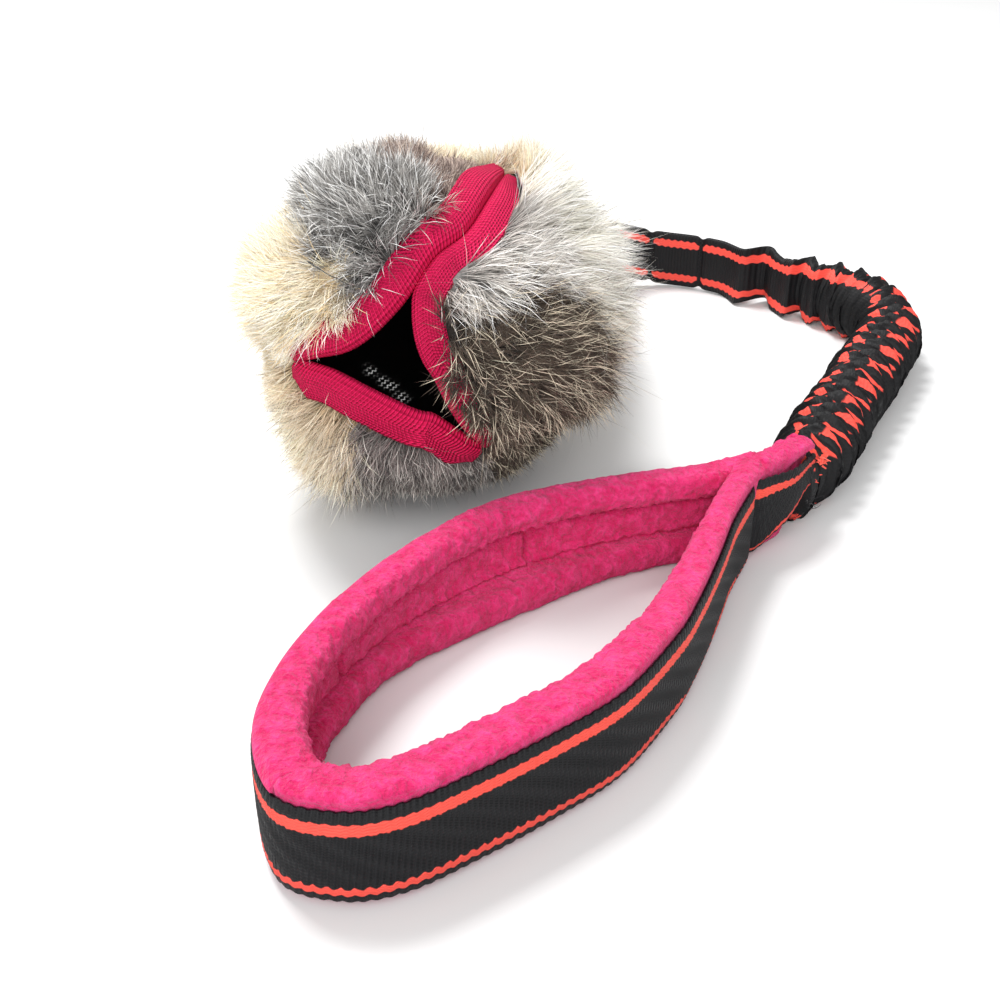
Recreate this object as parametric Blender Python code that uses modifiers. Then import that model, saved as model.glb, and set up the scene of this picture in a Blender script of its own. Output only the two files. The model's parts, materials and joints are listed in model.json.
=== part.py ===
"""Bungee tug toy, lying as it was laid down.

A fur pouch with a three-petal mouth hangs on a gathered bungee strap, which ends in a fleece-lined hand
loop. Units are metres, +Z is up. The plan is drawn from the point where the strap meets the hand loop, with
+X to the right and +Y away from the viewer. At the end the toy is moved so that the origin is under the
middle of its box.
"""

import math

import bmesh
import bpy
from mathutils import Matrix, Vector

# Clearances and cuts that all pieces share
GAP = 0.0003
CUT_OVERRUN = 0.02
GROUND_REACH = 0.8
FLAT_CUT = 0.0005
WELD_SHARE = 0.1
SMOOTH_DEGREES = 40.0
SMALL_ANGLE = 0.0003

# Webbing of the strap and of the hand loop, standing on its edge
WEB_WIDTH = 0.025
WEB_THICK = 0.0014
WEB_BASE_HEIGHT = 0.0025

# Hand loop: the outer line of its webbing, drawn in an own frame from the strap end
LOOP_LENGTH = 0.194
LOOP_WIDTH = 0.0875
LOOP_HEADING = 220.8
LOOP_START = 0.0245
TONGUE_LENGTH = 0.0155
LOOP_TAB_NEAR = 0.0052
LOOP_TAB_FAR = 0.0068
LOOP_CUT_SHARES = (0.258, 0.825)
LOOP_OUTLINE_SHARES = (
    (0.165, 0.178), (0.36, 0.416), (0.572, 0.577), (0.80, 0.56), (0.948, 0.48), (1.0, 0.275), (0.948, 0.01),
    (0.83, -0.207), (0.66, -0.354), (0.464, -0.422), (0.284, -0.377), (0.125, -0.19),
)
TAB_SHARES = (1.0, 0.5, 0.24, 0.14)
LOOP_STATIONS = 72

# Fleece lining of the hand loop: two fat rolls with a recessed band between them
FLEECE_HEIGHT = 0.031
FLEECE_THICK = 0.0135
FLEECE_BAND_THICK = 0.0065
FLEECE_ROLL_HEIGHT = 0.0095
FLEECE_PROFILE_SHARES = ((0.0, 0.3), (0.3, 0.0), (0.72, 0.0), (1.0, 0.35), (1.0, 0.72), (0.8, 1.0))
FLEECE_BAND_SHARE = 1.12
FLEECE_TAB_END = 0.003
FLEECE_TAB_ROUND = 0.0014
TAB_ROUND_STEPS = 2
TAB_ROUND_DEGREES = 50.0
FLEECE_START_SHARE = 0.62
JUNCTION_STEPS = 26

# Bungee strap: headings in degrees at shares of its length, from the pouch to the bend and on to the loop
UPPER_LENGTH = 0.188
UPPER_HEADINGS = (
    (0.0, 74), (0.14, 66), (0.27, 30), (0.36, 2), (0.44, -22), (0.52, -36), (0.60, -41), (0.70, -40),
    (0.80, -43), (0.88, -53), (0.95, -68), (1.0, -82),
)
BEND_LENGTH = 0.036
BEND_HEADINGS = ((0.0, -82), (0.35, -98), (0.75, -112), (1.0, -117.5))
LOWER_LENGTH = 0.114
ROUTE_STEPS = 400
TAIL_RISE = 0.021
TAIL_RISE_SHARE = 0.42
ELASTIC_START_SHARE = 0.47
SLEEVE_FULL_SHARE = 0.93
SLEEVE_HALF_THICK = 0.0128
STRAP_HALF_THICK = 0.0021
GATHER_PITCH = 0.0105
GATHER_DEPTH = 0.0014
GATHER_STEPS = 4
GATHER_EDGE_DEPTH = 0.0006
TRIM_LENGTH = 0.016
SLEEVE_END_SPACE = 0.0035
ELASTIC_WIDTH = 0.0244
ELASTIC_THICK = 0.0026
ELASTIC_UPPER_SHARE = 0.68
LENS_SHARE = 0.62
ELASTIC_LOWER_LENGTH = 0.1
BEND_TIGHT_RANGE = 2.0
BEND_OPEN_RANGE = 60.0
TAIL_SWING_RANGE = 35.0
HANDLE_TURN_RANGE = 35.0
HINGE_MARGIN = 2.0

# Bar stitches across the strap and box stitch at the hand loop
STITCH_WIDTH = 0.0012
STITCH_PROUD = 0.0006
STITCH_HEIGHT = 0.021
STITCH_STANDOFF = 0.0007
TAIL_STITCH_SHARE = 0.34
BOX_LENGTH = 0.0115
BOX_HEIGHT = 0.019
BOX_INSET = 0.0025

# Pouch: place of its middle from the strap's end at the hand loop, and its front axis
POUCH_LEFT = 0.1205
POUCH_BEHIND = 0.0155
POUCH_TURN = 3.4
POUCH_TILT = 22.3
SKIN_RADIUS = 0.0515
HIDE_PROUD = 0.0045
HIDE_SWELL = 0.0042
LINING_THICK = 0.0012
LINING_GAP = 0.0008
TAPE_WIDTH = 0.0092
TAPE_OUT = 0.0026
TAPE_IN = 0.0030
HINGE_POLAR = 97.0
HIDE_THICK = 0.0040
FRONT_STEPS = 22
BACK_STEPS = 5
TAPE_STEPS = 26
TAPE_TAPER_STEPS = 6
TAPE_END_SHARE = 0.28
EDGE_KEPT_SHARE = 0.08
HIDE_SPLIT_SHARE = 0.5
SEAM_MARGIN_SHARE = 1.6
SWELL_EDGE_SHARE = 0.08
SWELL_SEAM_SHARE = 0.5
TAPE_ROLL_SHARE = 0.3
LINING_FLOOR_SHARE = 0.97
TAIL_HALF_HEIGHT = 0.0168
TAIL_HALF_WIDTH = 0.0105
TAIL_WALL = 0.0036
TAIL_STEPS = 9
REAR_SIDES = 32
REAR_PULL = 0.05
REAR_SINK_SHARE = 0.1
REAR_TAPER_POWER = 1.55
TAIL_PULL = 0.04
LINING_END_SHARE = 0.62
ANCHOR_INSIDE = 0.03

# Mouth edges on the unit sphere of the pouch, seen from the front: right and up
EDGE_TOP_SHARES = (
    (0.47, 0.87), (0.35, 0.70), (0.22, 0.51), (0.05, 0.38), (-0.07, 0.21), (-0.17, 0.09), (-0.31, -0.04),
    (-0.45, -0.12), (-0.61, -0.15), (-0.73, -0.17),
)
EDGE_RIGHT_SHARES = (
    (0.47, 0.87), (0.35, 0.70), (0.22, 0.51), (0.05, 0.38), (-0.07, 0.21), (-0.09, 0.08), (-0.08, -0.06),
    (-0.04, -0.19), (0.02, -0.29), (0.08, -0.42), (0.17, -0.57), (0.28, -0.68),
)
EDGE_LOWER_SHARES = (
    (-0.73, -0.17), (-0.54, -0.23), (-0.31, -0.35), (-0.07, -0.47), (0.05, -0.51), (0.28, -0.68),
)

COLOURS = {
    "black_web": (0.012, 0.012, 0.014), "pink_fleece": (0.80, 0.06, 0.22), "pink_tape": (0.60, 0.012, 0.06),
    "coral_thread": (1.0, 0.10, 0.08), "black_thread": (0.01, 0.01, 0.012), "mesh": (0.01, 0.01, 0.012),
    "elastic": (0.05, 0.05, 0.055), "fur_grey": (0.24, 0.22, 0.20), "fur_cream": (0.86, 0.74, 0.52),
    "fur_white": (0.80, 0.76, 0.70), "fur_brown": (0.15, 0.11, 0.08), "fur_tan": (0.62, 0.48, 0.30),
}

COLLECTION = bpy.data.collections.new("bungee_tug_toy")
CUTTERS = bpy.data.collections.new("cutters")


def clear_scene():
    for old in list(bpy.data.objects):
        bpy.data.objects.remove(old)
    bpy.context.scene.collection.children.link(COLLECTION)
    bpy.context.scene.collection.children.link(CUTTERS)


def material(name):
    found = bpy.data.materials.get(name)
    if found:
        return found
    made = bpy.data.materials.new(name)
    made.use_nodes = True
    shader = made.node_tree.nodes["Principled BSDF"]
    shader.inputs["Base Color"].default_value = (*COLOURS[name], 1.0)
    shader.inputs["Roughness"].default_value = 0.85
    shader.inputs["Metallic"].default_value = 0.0
    return made


def add_mesh(name, mesh, colour, collection=COLLECTION):
    made = bpy.data.objects.new(name, mesh)
    collection.objects.link(made)
    if colour:
        mesh.materials.append(material(colour))
    return made


def loft(name, rings, colour, closed=False, collection=COLLECTION):
    """A solid through rings of points, capped at both ends unless it closes on itself."""
    bm = bmesh.new()
    rows = [[bm.verts.new(point) for point in ring] for ring in rings]
    count = len(rows[0])
    pairs = list(zip(rows, rows[1:]))
    if closed:
        pairs.append((rows[-1], rows[0]))
    for first, second in pairs:
        for i in range(count):
            j = (i + 1) % count
            bm.faces.new((first[i], first[j], second[j], second[i]))
    if not closed:
        bm.faces.new(rows[0][::-1])
        bm.faces.new(rows[-1])
    bmesh.ops.recalc_face_normals(bm, faces=bm.faces)
    if bm.calc_volume(signed=True) < 0:
        bmesh.ops.reverse_faces(bm, faces=bm.faces)
    mesh = bpy.data.meshes.new(name)
    bm.to_mesh(mesh)
    bm.free()
    made = add_mesh(name, mesh, colour, collection)
    mesh.shade_smooth()
    mesh.set_sharp_from_angle(angle=math.radians(SMOOTH_DEGREES))
    return made


def extruded_outline(name, points, low, high, colour, collection=COLLECTION):
    """A flat outline in the plan, raised from low to high."""
    curve = bpy.data.curves.new(name, "CURVE")
    curve.dimensions = "2D"
    curve.fill_mode = "BOTH"
    curve.extrude = (high - low) / 2
    spline = curve.splines.new("POLY")
    spline.points.add(len(points) - 1)
    for spot, point in zip(spline.points, points):
        spot.co = (point.x, point.y, 0, 1)
    spline.use_cyclic_u = True
    guide = bpy.data.objects.new(name + "_curve", curve)
    guide.location.z = (low + high) / 2
    CUTTERS.objects.link(guide)
    bpy.context.view_layer.update()
    shape = guide.evaluated_get(bpy.context.evaluated_depsgraph_get())
    mesh = bpy.data.meshes.new_from_object(shape)
    mesh.transform(guide.matrix_world)
    bm = bmesh.new()
    bm.from_mesh(mesh)
    bmesh.ops.remove_doubles(bm, verts=bm.verts, dist=GAP * WELD_SHARE)
    bmesh.ops.recalc_face_normals(bm, faces=bm.faces)
    if bm.calc_volume(signed=True) < 0:
        bmesh.ops.reverse_faces(bm, faces=bm.faces)
    bm.to_mesh(mesh)
    bm.free()
    bpy.data.objects.remove(guide)
    return add_mesh(name, mesh, colour, collection)


def boolean(target, cutter, operation):
    cutter.hide_render = True
    cutter.display_type = "WIRE"
    step = target.modifiers.new(operation.lower(), "BOOLEAN")
    step.operation = operation
    step.object = cutter


def smooth_points(controls, steps, closed=False):
    """Points on a Catmull-Rom curve through the controls."""
    count = len(controls)
    spans = count if closed else count - 1
    made = []
    for span in range(spans):
        if closed:
            a, b, c, d = (controls[(span + k - 1) % count] for k in range(4))
        else:
            a = controls[max(span - 1, 0)]
            b, c = controls[span], controls[span + 1]
            d = controls[min(span + 2, count - 1)]
        for i in range(steps):
            t = i / steps
            made.append(0.5 * (2 * b + (c - a) * t + (2 * a - 5 * b + 4 * c - d) * t * t
                               + (3 * b - a - 3 * c + d) * t * t * t))
    if not closed:
        made.append(controls[-1].copy())
    return made


def even_points(points, count):
    """The same line with count points at equal steps."""
    lengths = [0.0]
    for first, second in zip(points, points[1:]):
        lengths.append(lengths[-1] + (second - first).length)
    made, k = [], 0
    for i in range(count):
        at = lengths[-1] * i / (count - 1)
        while k < len(points) - 2 and lengths[k + 1] < at:
            k += 1
        span = lengths[k + 1] - lengths[k]
        made.append(points[k].lerp(points[k + 1], (at - lengths[k]) / span if span else 0.0))
    return made


def clamp(value):
    return min(max(value, 0.0), 1.0)


def ease(value):
    value = clamp(value)
    return value * value * (3 - 2 * value)


def table_value(table, share):
    for (share_a, a), (share_b, b) in zip(table, table[1:]):
        if share <= share_b:
            return a + (b - a) * ease((share - share_a) / (share_b - share_a))
    return table[-1][1]


# Plan of the strap


def run_route(start, length, headings):
    points, headings_deg = [start.copy()], [table_value(headings, 0.0)]
    step = length / ROUTE_STEPS
    for i in range(ROUTE_STEPS):
        angle = math.radians(table_value(headings, (i + 0.5) / ROUTE_STEPS))
        points.append(points[-1] + step * Vector((math.cos(angle), math.sin(angle), 0)))
        headings_deg.append(table_value(headings, (i + 1) / ROUTE_STEPS))
    return points, headings_deg


class Route:
    """A line in the plan, with its heading, read by length along it."""

    def __init__(self, points, headings, length):
        self.points, self.headings, self.length = points, headings, length

    def at(self, run):
        place = clamp(run / self.length) * (len(self.points) - 1)
        k = min(int(place), len(self.points) - 2)
        point = self.points[k].lerp(self.points[k + 1], place - k)
        heading = math.radians(self.headings[k] + (self.headings[k + 1] - self.headings[k]) * (place - k))
        along = Vector((math.cos(heading), math.sin(heading), 0))
        return point, along, Vector((-along.y, along.x, 0))


def strap_height(share):
    level = WEB_WIDTH / 2 + GATHER_EDGE_DEPTH
    return level + TAIL_RISE * (1 - ease(share / TAIL_RISE_SHARE))


def plan_routes():
    upper, upper_deg = run_route(Vector((0, 0, 0)), UPPER_LENGTH, UPPER_HEADINGS)
    bend, bend_deg = run_route(upper[-1], BEND_LENGTH, BEND_HEADINGS)
    last = math.radians(BEND_HEADINGS[-1][1])
    end = bend[-1] + LOWER_LENGTH * Vector((math.cos(last), math.sin(last), 0))
    upper = [point - end for point in upper]
    for k, point in enumerate(upper):
        point.z = strap_height(k / ROUTE_STEPS)
    lower = [point - end for point in bend]
    lower_deg = list(bend_deg)
    for i in range(ROUTE_STEPS):
        share = (i + 1) / ROUTE_STEPS
        lower.append(lower[ROUTE_STEPS] + share * LOWER_LENGTH * Vector((math.cos(last), math.sin(last), 0)))
        lower_deg.append(BEND_HEADINGS[-1][1])
    for point in lower:
        point.z = strap_height(1.0)
    return upper, upper_deg, lower, lower_deg


UPPER_POINTS, UPPER_DEG, LOWER_RAW, LOWER_DEG = plan_routes()
UPPER = Route(UPPER_POINTS, UPPER_DEG, UPPER_LENGTH)
LOWER_TOTAL = BEND_LENGTH + LOWER_LENGTH


def resampled_lower():
    """The lower line read again at equal steps, because its bend and straight run have steps unlike."""
    count = 2 * ROUTE_STEPS + 1
    points, headings = [], []
    for i in range(count):
        run = LOWER_TOTAL * i / (count - 1)
        if run < BEND_LENGTH:
            place = run / BEND_LENGTH * ROUTE_STEPS
        else:
            place = ROUTE_STEPS + (run - BEND_LENGTH) / LOWER_LENGTH * ROUTE_STEPS
        k = min(int(place), 2 * ROUTE_STEPS - 1)
        points.append(LOWER_RAW[k].lerp(LOWER_RAW[k + 1], place - k))
        headings.append(LOWER_DEG[k] + (LOWER_DEG[k + 1] - LOWER_DEG[k]) * (place - k))
    return points, headings


LOWER = Route(*resampled_lower(), LOWER_TOTAL)
TAIL_POINT = UPPER_POINTS[0].copy()
BEND_POINT = UPPER_POINTS[-1].copy()
HANDLE_POINT = Vector((0, 0, strap_height(1.0)))


def trim_slope(turn):
    """How far an end is cut back for each metre beside the hinge, to clear its neighbour after the turn."""
    return math.tan(math.radians((turn + HINGE_MARGIN) / 2))


def strap_solid(name, route, start, end, inner, outer, half_height, side, colour, stations, trims):
    """A strip standing on its edge beside the route.

    inner and outer give its two offsets at a run and a height share. side is +1 to the left of the route,
    -1 to the right and 0 for a strip astride it. trims holds the slopes of the start and the end.
    """
    levels = (-1.0, -LENS_SHARE, 0.0, LENS_SHARE, 1.0)
    hands = (side, side) if side else (1, -1)
    rings = []
    for run in stations:
        ring = []
        for face, hand, order in ((outer, hands[0], levels), (inner, hands[1], levels[::-1])):
            for level in order:
                offset = face(run, level)
                ahead = clamp(1 - (run - start) / TRIM_LENGTH) * (offset * trims[0] + GAP / 2)
                back = clamp(1 - (end - run) / TRIM_LENGTH) * (offset * trims[1] + GAP / 2)
                point, along, left = route.at(run - back + ahead)
                place = point + left * offset * hand
                place.z += half_height(run) * level
                ring.append(place)
        rings.append(ring)
    return loft(name, rings, colour)


def lens(level):
    return math.sqrt(max(1 - level * level, 0.0))


def stations_between(start, end, pitch, per_pitch):
    count = max(2, round((end - start) / pitch * per_pitch))
    return [start + (end - start) * i / count for i in range(count + 1)]


def upper_half_thick(run, phase):
    share = run / UPPER_LENGTH
    swell = ease((share - ELASTIC_START_SHARE) / (SLEEVE_FULL_SHARE - ELASTIC_START_SHARE))
    gather = GATHER_DEPTH * math.sin(math.tau * run / GATHER_PITCH + phase)
    return STRAP_HALF_THICK + (SLEEVE_HALF_THICK - STRAP_HALF_THICK) * swell + gather * swell


def lower_half_thick(run, phase):
    gather = GATHER_DEPTH * math.sin(math.tau * (run + UPPER_LENGTH) / GATHER_PITCH + phase)
    return SLEEVE_HALF_THICK + gather


def web_faces(half_thick, phase):
    edge = WEB_THICK + GAP / 2

    def outer(run, level):
        return edge + (half_thick(run, phase) - edge) * lens(level)

    def inner(run, level):
        return GAP / 2 + (half_thick(run, phase) - edge) * lens(level)

    return inner, outer


def web_half_height(run):
    return WEB_WIDTH / 2


def make_strap():
    """Two webbings sewn edge to edge: flat at the pouch, and gathered over the elastic beyond it."""
    swell = UPPER_LENGTH * ELASTIC_START_SHARE
    flat = stations_between(0.0, swell, GATHER_PITCH, 1)
    full = stations_between(swell, UPPER_LENGTH, GATHER_PITCH, GATHER_STEPS)
    lower = stations_between(0.0, LOWER_TOTAL - SLEEVE_END_SPACE, GATHER_PITCH, GATHER_STEPS)
    bend_slopes = {-1: trim_slope(BEND_TIGHT_RANGE), 1: trim_slope(BEND_OPEN_RANGE)}
    tail_slope = trim_slope(TAIL_SWING_RANGE)
    end_slope = trim_slope(HANDLE_TURN_RANGE)
    for label, side, phase in (("near", -1, 0.0), ("far", 1, math.pi / 2)):
        inner, outer = web_faces(upper_half_thick, phase)
        strap_solid("strap_web_" + label, UPPER, 0.0, UPPER_LENGTH, inner, outer, web_half_height, side,
                    "black_web", flat + full[1:], (tail_slope, bend_slopes[side]))
        inner, outer = web_faces(lower_half_thick, phase)
        strap_solid("sleeve_web_" + label, LOWER, 0.0, LOWER_TOTAL - SLEEVE_END_SPACE, inner, outer,
                    web_half_height, side, "black_web", lower, (bend_slopes[side], end_slope))


def strip_face(half_thick):
    def face(run, level):
        return half_thick
    return face


def elastic_half_height(half_thick, run):
    """As wide as the sleeve lets it be, so that its two edges lie in the sleeve's edge seams."""
    room = half_thick - GATHER_DEPTH - WEB_THICK - GAP / 2
    level = 1 - (1 - LENS_SHARE) * (ELASTIC_THICK / 2 + GAP) / room / lens(LENS_SHARE)
    return min(ELASTIC_WIDTH / 2, WEB_WIDTH / 2 * level - GAP)


def elastic_upper_half(run):
    return elastic_half_height(upper_half_thick(run, 0.0), run)


def elastic_lower_half(run):
    return elastic_half_height(SLEEVE_HALF_THICK, run)


def make_elastic():
    """Flat elastic inside the sleeve, through the bend and out to the hand loop."""
    face = strip_face(ELASTIC_THICK / 2)
    bend_slope = trim_slope(max(BEND_OPEN_RANGE, BEND_TIGHT_RANGE))
    swell_start = UPPER_LENGTH * ELASTIC_UPPER_SHARE
    strap_solid("elastic_upper", UPPER, swell_start, UPPER_LENGTH, face, face, elastic_upper_half, 0,
                "elastic", stations_between(swell_start, UPPER_LENGTH, GATHER_PITCH, 1), (0.0, bend_slope))
    split = LOWER_TOTAL - ELASTIC_LOWER_LENGTH
    strap_solid("elastic_bend", LOWER, 0.0, split, face, face, elastic_lower_half, 0, "elastic",
                stations_between(0.0, split, GATHER_PITCH, 1), (bend_slope, 0.0))
    strap_solid("elastic_lower", LOWER, split, LOWER_TOTAL, face, face, elastic_lower_half, 0, "elastic",
                stations_between(split, LOWER_TOTAL, GATHER_PITCH, 1), (0.0, trim_slope(HANDLE_TURN_RANGE)))


def bar_stitch(name, share, colour):
    """A bar of thread across the flat strap, on the face that is turned to the viewer."""
    run = UPPER_LENGTH * share
    point, along, left = UPPER.at(run)
    base = upper_half_thick(run, 0.0) + STITCH_STANDOFF
    top = base + STITCH_PROUD
    low, high = -STITCH_HEIGHT / 2, STITCH_HEIGHT / 2
    rings = []
    for shift in (-STITCH_WIDTH / 2, STITCH_WIDTH / 2):
        ring = []
        for offset, level in ((base, low), (base, high), (top, high), (top, low)):
            ring.append(point + along * shift - left * offset + Vector((0, 0, level)))
        rings.append(ring)
    return loft(name, rings, colour)


# Hand loop


LOOP_AXIS = Vector((math.cos(math.radians(LOOP_HEADING)), math.sin(math.radians(LOOP_HEADING)), 0))
LOOP_SIDE = Vector((-LOOP_AXIS.y, LOOP_AXIS.x, 0))


TONGUE_SIDE = WEB_THICK + GAP + ELASTIC_THICK / 2 - LOOP_TAB_FAR


def loop_point(run, side):
    """A point of the hand loop's own frame in the plan, with the tongue on the line of the strap's end."""
    return (run + LOOP_START) * LOOP_AXIS + (side - TONGUE_SIDE) * LOOP_SIDE


def loop_outline():
    """The outer line of the hand loop's webbing, from the near end of the tab round to the far end."""
    tab = -LOOP_START + FLEECE_TAB_END
    controls = [Vector((tab * share, LOOP_TAB_NEAR, 0)) for share in TAB_SHARES]
    for along, across in LOOP_OUTLINE_SHARES:
        controls.append(Vector((along * LOOP_LENGTH, across * LOOP_WIDTH, 0)))
    controls += [Vector((tab * share, -LOOP_TAB_FAR, 0)) for share in TAB_SHARES[::-1]]
    return even_points(smooth_points(controls, 12), 2 * LOOP_STATIONS)


def inward(points, distance):
    """The line moved to the inside of the loop, which is on its right when it runs from the near end."""
    made = []
    for k, point in enumerate(points):
        ahead = points[min(k + 1, len(points) - 1)] - points[max(k - 1, 0)]
        ahead.normalize()
        made.append(point + distance * Vector((ahead.y, -ahead.x, 0)))
    return made


def to_plan(points):
    return [loop_point(point.x, point.y) for point in points]


def region_box(name, low_run, high_run, low_side, high_side):
    corners = [(low_run, low_side), (high_run, low_side), (high_run, high_side), (low_run, high_side)]
    points = [loop_point(run, side) for run, side in corners]
    return extruded_outline(name, points, -CUT_OVERRUN, FLEECE_HEIGHT + CUT_OVERRUN, None, CUTTERS)


def fleece_section(ahead):
    """Section of the lining: a roll above, a roll below and a recessed band between them."""
    into = Vector((ahead.y, -ahead.x, 0))
    low, high = -FLAT_CUT, FLEECE_HEIGHT
    half = [(deep * FLEECE_THICK, high - drop * FLEECE_ROLL_HEIGHT) for deep, drop in FLEECE_PROFILE_SHARES]
    half.append((FLEECE_BAND_THICK, high - FLEECE_BAND_SHARE * FLEECE_ROLL_HEIGHT))
    other = [(depth, low + high - level) for depth, level in half[::-1]]
    skin = WEB_THICK + GAP
    return [into * (skin + depth) + Vector((0, 0, level)) for depth, level in half + other]


def loop_cut(which):
    """Where the loop is cut between its parts: 0 at the junction and 1 at the bend."""
    return LOOP_LENGTH * LOOP_CUT_SHARES[which]


def fleece_ring():
    """The rings of the whole lining from the junction cut round and back, for the parts to be cut from."""
    outline = loop_outline()
    kept = [k for k, point in enumerate(outline) if point.x > loop_cut(0) * FLEECE_START_SHARE]
    rings = []
    for k in kept[::2]:
        ahead = (outline[k + 1] - outline[k - 1]).normalized()
        ring = []
        for spot in fleece_section(ahead):
            ring.append(loop_point(outline[k].x + spot.x, outline[k].y + spot.y) + Vector((0, 0, spot.z)))
        rings.append(ring)
    return rings


def standing_web(name, points):
    """Webbing that stands on its edge over an outline in the plan."""
    return extruded_outline(name, points, WEB_BASE_HEIGHT, WEB_BASE_HEIGHT + WEB_WIDTH, "black_web")


def web_band(name, keep):
    """A stretch of the loop's webbing along the points of the outline that keep() holds."""
    outline = [point for point in loop_outline() if keep(point)]
    return standing_web(name, to_plan(outline + inward(outline, WEB_THICK)[::-1]))


def make_loop():
    far = LOOP_LENGTH + CUT_OVERRUN
    wide = LOOP_WIDTH
    half = GAP / 2
    junction, bend = loop_cut(0), loop_cut(1)
    regions = {
        "bend": (bend + half, far, -wide, wide),
        "near": (junction + half, bend - half, 0.0, wide),
        "far": (junction + half, bend - half, -wide, 0.0),
    }
    slack = CUT_OVERRUN / 2
    for label, (low_run, high_run, low_side, high_side) in regions.items():
        box = region_box("cut_" + label, low_run, high_run, low_side, high_side)

        def keep(point):
            along = low_run - slack < point.x < high_run + slack
            return along and low_side - slack < point.y < high_side + slack

        web = web_band("handle_web_" + label, keep)
        boolean(web, box, "INTERSECT")
        fleece = loft("handle_fleece_" + label, fleece_ring(), "pink_fleece")
        boolean(fleece, box, "INTERSECT")
        floor_cut(fleece)


def floor_cut(target):
    """Takes off what lies below the ground, so that a soft form rests on a flat."""
    reach = GROUND_REACH
    corners = [Vector((x * reach, y * reach, 0)) for x, y in ((-1, -1), (1, -1), (1, 1), (-1, 1))]
    ground = extruded_outline("ground_" + target.name, corners, -reach, 0.0, None, CUTTERS)
    boolean(target, ground, "DIFFERENCE")


def loop_end(near_side):
    """The outer line of the loop's webbing on one side of its tab, up to the junction's cut."""
    cut = loop_cut(0) - GAP / 2
    line = [point for point in loop_outline() if point.x < cut and (point.y > 0) == near_side]
    line.sort(key=lambda point: point.x)
    line.append(Vector((cut, height_at(line, cut), 0)))
    return line


def moved_in(line, distance, near_side):
    """The line moved to the inside of the loop, with its last point kept on the junction's cut."""
    made = inward(line, distance if near_side else -distance)
    made[-1] = Vector((line[-1].x, height_at(made, line[-1].x), 0))
    return made


def make_junction():
    """The two ends of the loop's webbing, the fleece between them, and the strap's tongue in the middle."""
    near, far = loop_end(True), loop_end(False)
    for label, line, near_side in (("near", near, True), ("far", far, False)):
        points = to_plan(line + moved_in(line, WEB_THICK, near_side)[::-1])
        standing_web("handle_web_end_" + label, points)
    skin = WEB_THICK + GAP
    near_skin, far_skin = moved_in(near, skin, True), moved_in(far, skin, False)
    near_lining = moved_in(near, skin + FLEECE_THICK, True)
    far_lining = moved_in(far, skin + FLEECE_THICK, False)
    tab, cut = -LOOP_START + FLEECE_TAB_END, near[-1].x
    tongue_end = tab + TONGUE_LENGTH + GAP
    near_line, far_line, hollow_near, hollow_far = [], [], [], []
    for i in range(JUNCTION_STEPS + 1):
        x = tab + (cut - tab) * i / JUNCTION_STEPS
        aside = (ELASTIC_THICK + GAP) * (1 - ease((x - tongue_end) / ELASTIC_WIDTH))
        near_line.append(Vector((x, height_at(near_skin, x), 0)))
        far_line.append(Vector((x, height_at(far_skin, x) + aside, 0)))
        top, low = height_at(near_lining, x), height_at(far_lining, x)
        if x > 0 and top - low > GAP:
            hollow_near.append(Vector((x, top, 0)))
            hollow_far.append(Vector((x, low, 0)))
    outline = near_line + hollow_near[::-1] + hollow_far + far_line[::-1]
    fleece = extruded_outline("handle_fleece_tab", to_plan(outline), -FLAT_CUT, FLEECE_HEIGHT, "pink_fleece")
    soften(fleece, FLEECE_TAB_ROUND)
    floor_cut(fleece)
    make_tongue(tab)
    make_box_stitch(tab)


def make_tongue(tab):
    """The strap's end between the loop's two webbings, with a pointed nose at the swing's axis."""
    half = ELASTIC_THICK / 2
    nose = -LOOP_START + GAP / 2
    shoulder = nose + half * trim_slope(HANDLE_TURN_RANGE)
    end = tab + TONGUE_LENGTH
    corners = [(nose, 0.0), (shoulder, -half), (end, -half), (end, half), (shoulder, half)]
    points = [loop_point(run, TONGUE_SIDE + side) for run, side in corners]
    standing_web("strap_tongue", points)


def height_at(line, x):
    """The side offset of a line of the loop's frame at a run x, carried on straight past its ends."""
    ordered = sorted(line, key=lambda point: point.x)
    k = 0
    while k < len(ordered) - 2 and ordered[k + 1].x < x:
        k += 1
    first, second = ordered[k], ordered[k + 1]
    if second.x - first.x < GAP:
        return first.y
    return first.y + (second.y - first.y) * (x - first.x) / (second.x - first.x)


def soften(target, width):
    step = target.modifiers.new("soften", "BEVEL")
    step.width = width
    step.segments = TAB_ROUND_STEPS
    step.limit_method = "ANGLE"
    step.angle_limit = math.radians(TAB_ROUND_DEGREES)


def make_box_stitch(tab):
    """The stitched box that holds the strap's tongue, on the near end of the loop's webbing."""
    low_run, high_run = tab + BOX_INSET, tab + BOX_INSET + BOX_LENGTH
    middle = WEB_BASE_HEIGHT + WEB_WIDTH / 2
    base = LOOP_TAB_NEAR + STITCH_STANDOFF
    top = base + STITCH_PROUD
    rings = []
    for run, level, run_sign in ((low_run, -1, 1), (high_run, -1, -1), (high_run, 1, -1), (low_run, 1, 1)):
        ring = []
        for deep, side in ((0.0, base), (0.0, top), (STITCH_WIDTH, top), (STITCH_WIDTH, base)):
            place = loop_point(run + run_sign * deep, side)
            place.z = middle + level * (BOX_HEIGHT / 2 - deep)
            ring.append(place)
        rings.append(ring)
    loft("stitch_handle_box", rings, "black_thread", closed=True)


# Pouch


def pouch_frame():
    turn, tilt = math.radians(POUCH_TURN), math.radians(POUCH_TILT)
    front = Matrix.Rotation(turn, 3, "Z") @ Vector((0, -math.cos(tilt), math.sin(tilt)))
    right = Matrix.Rotation(turn, 3, "Z") @ Vector((1, 0, 0))
    up = front.cross(right)
    return right, up, front


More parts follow.
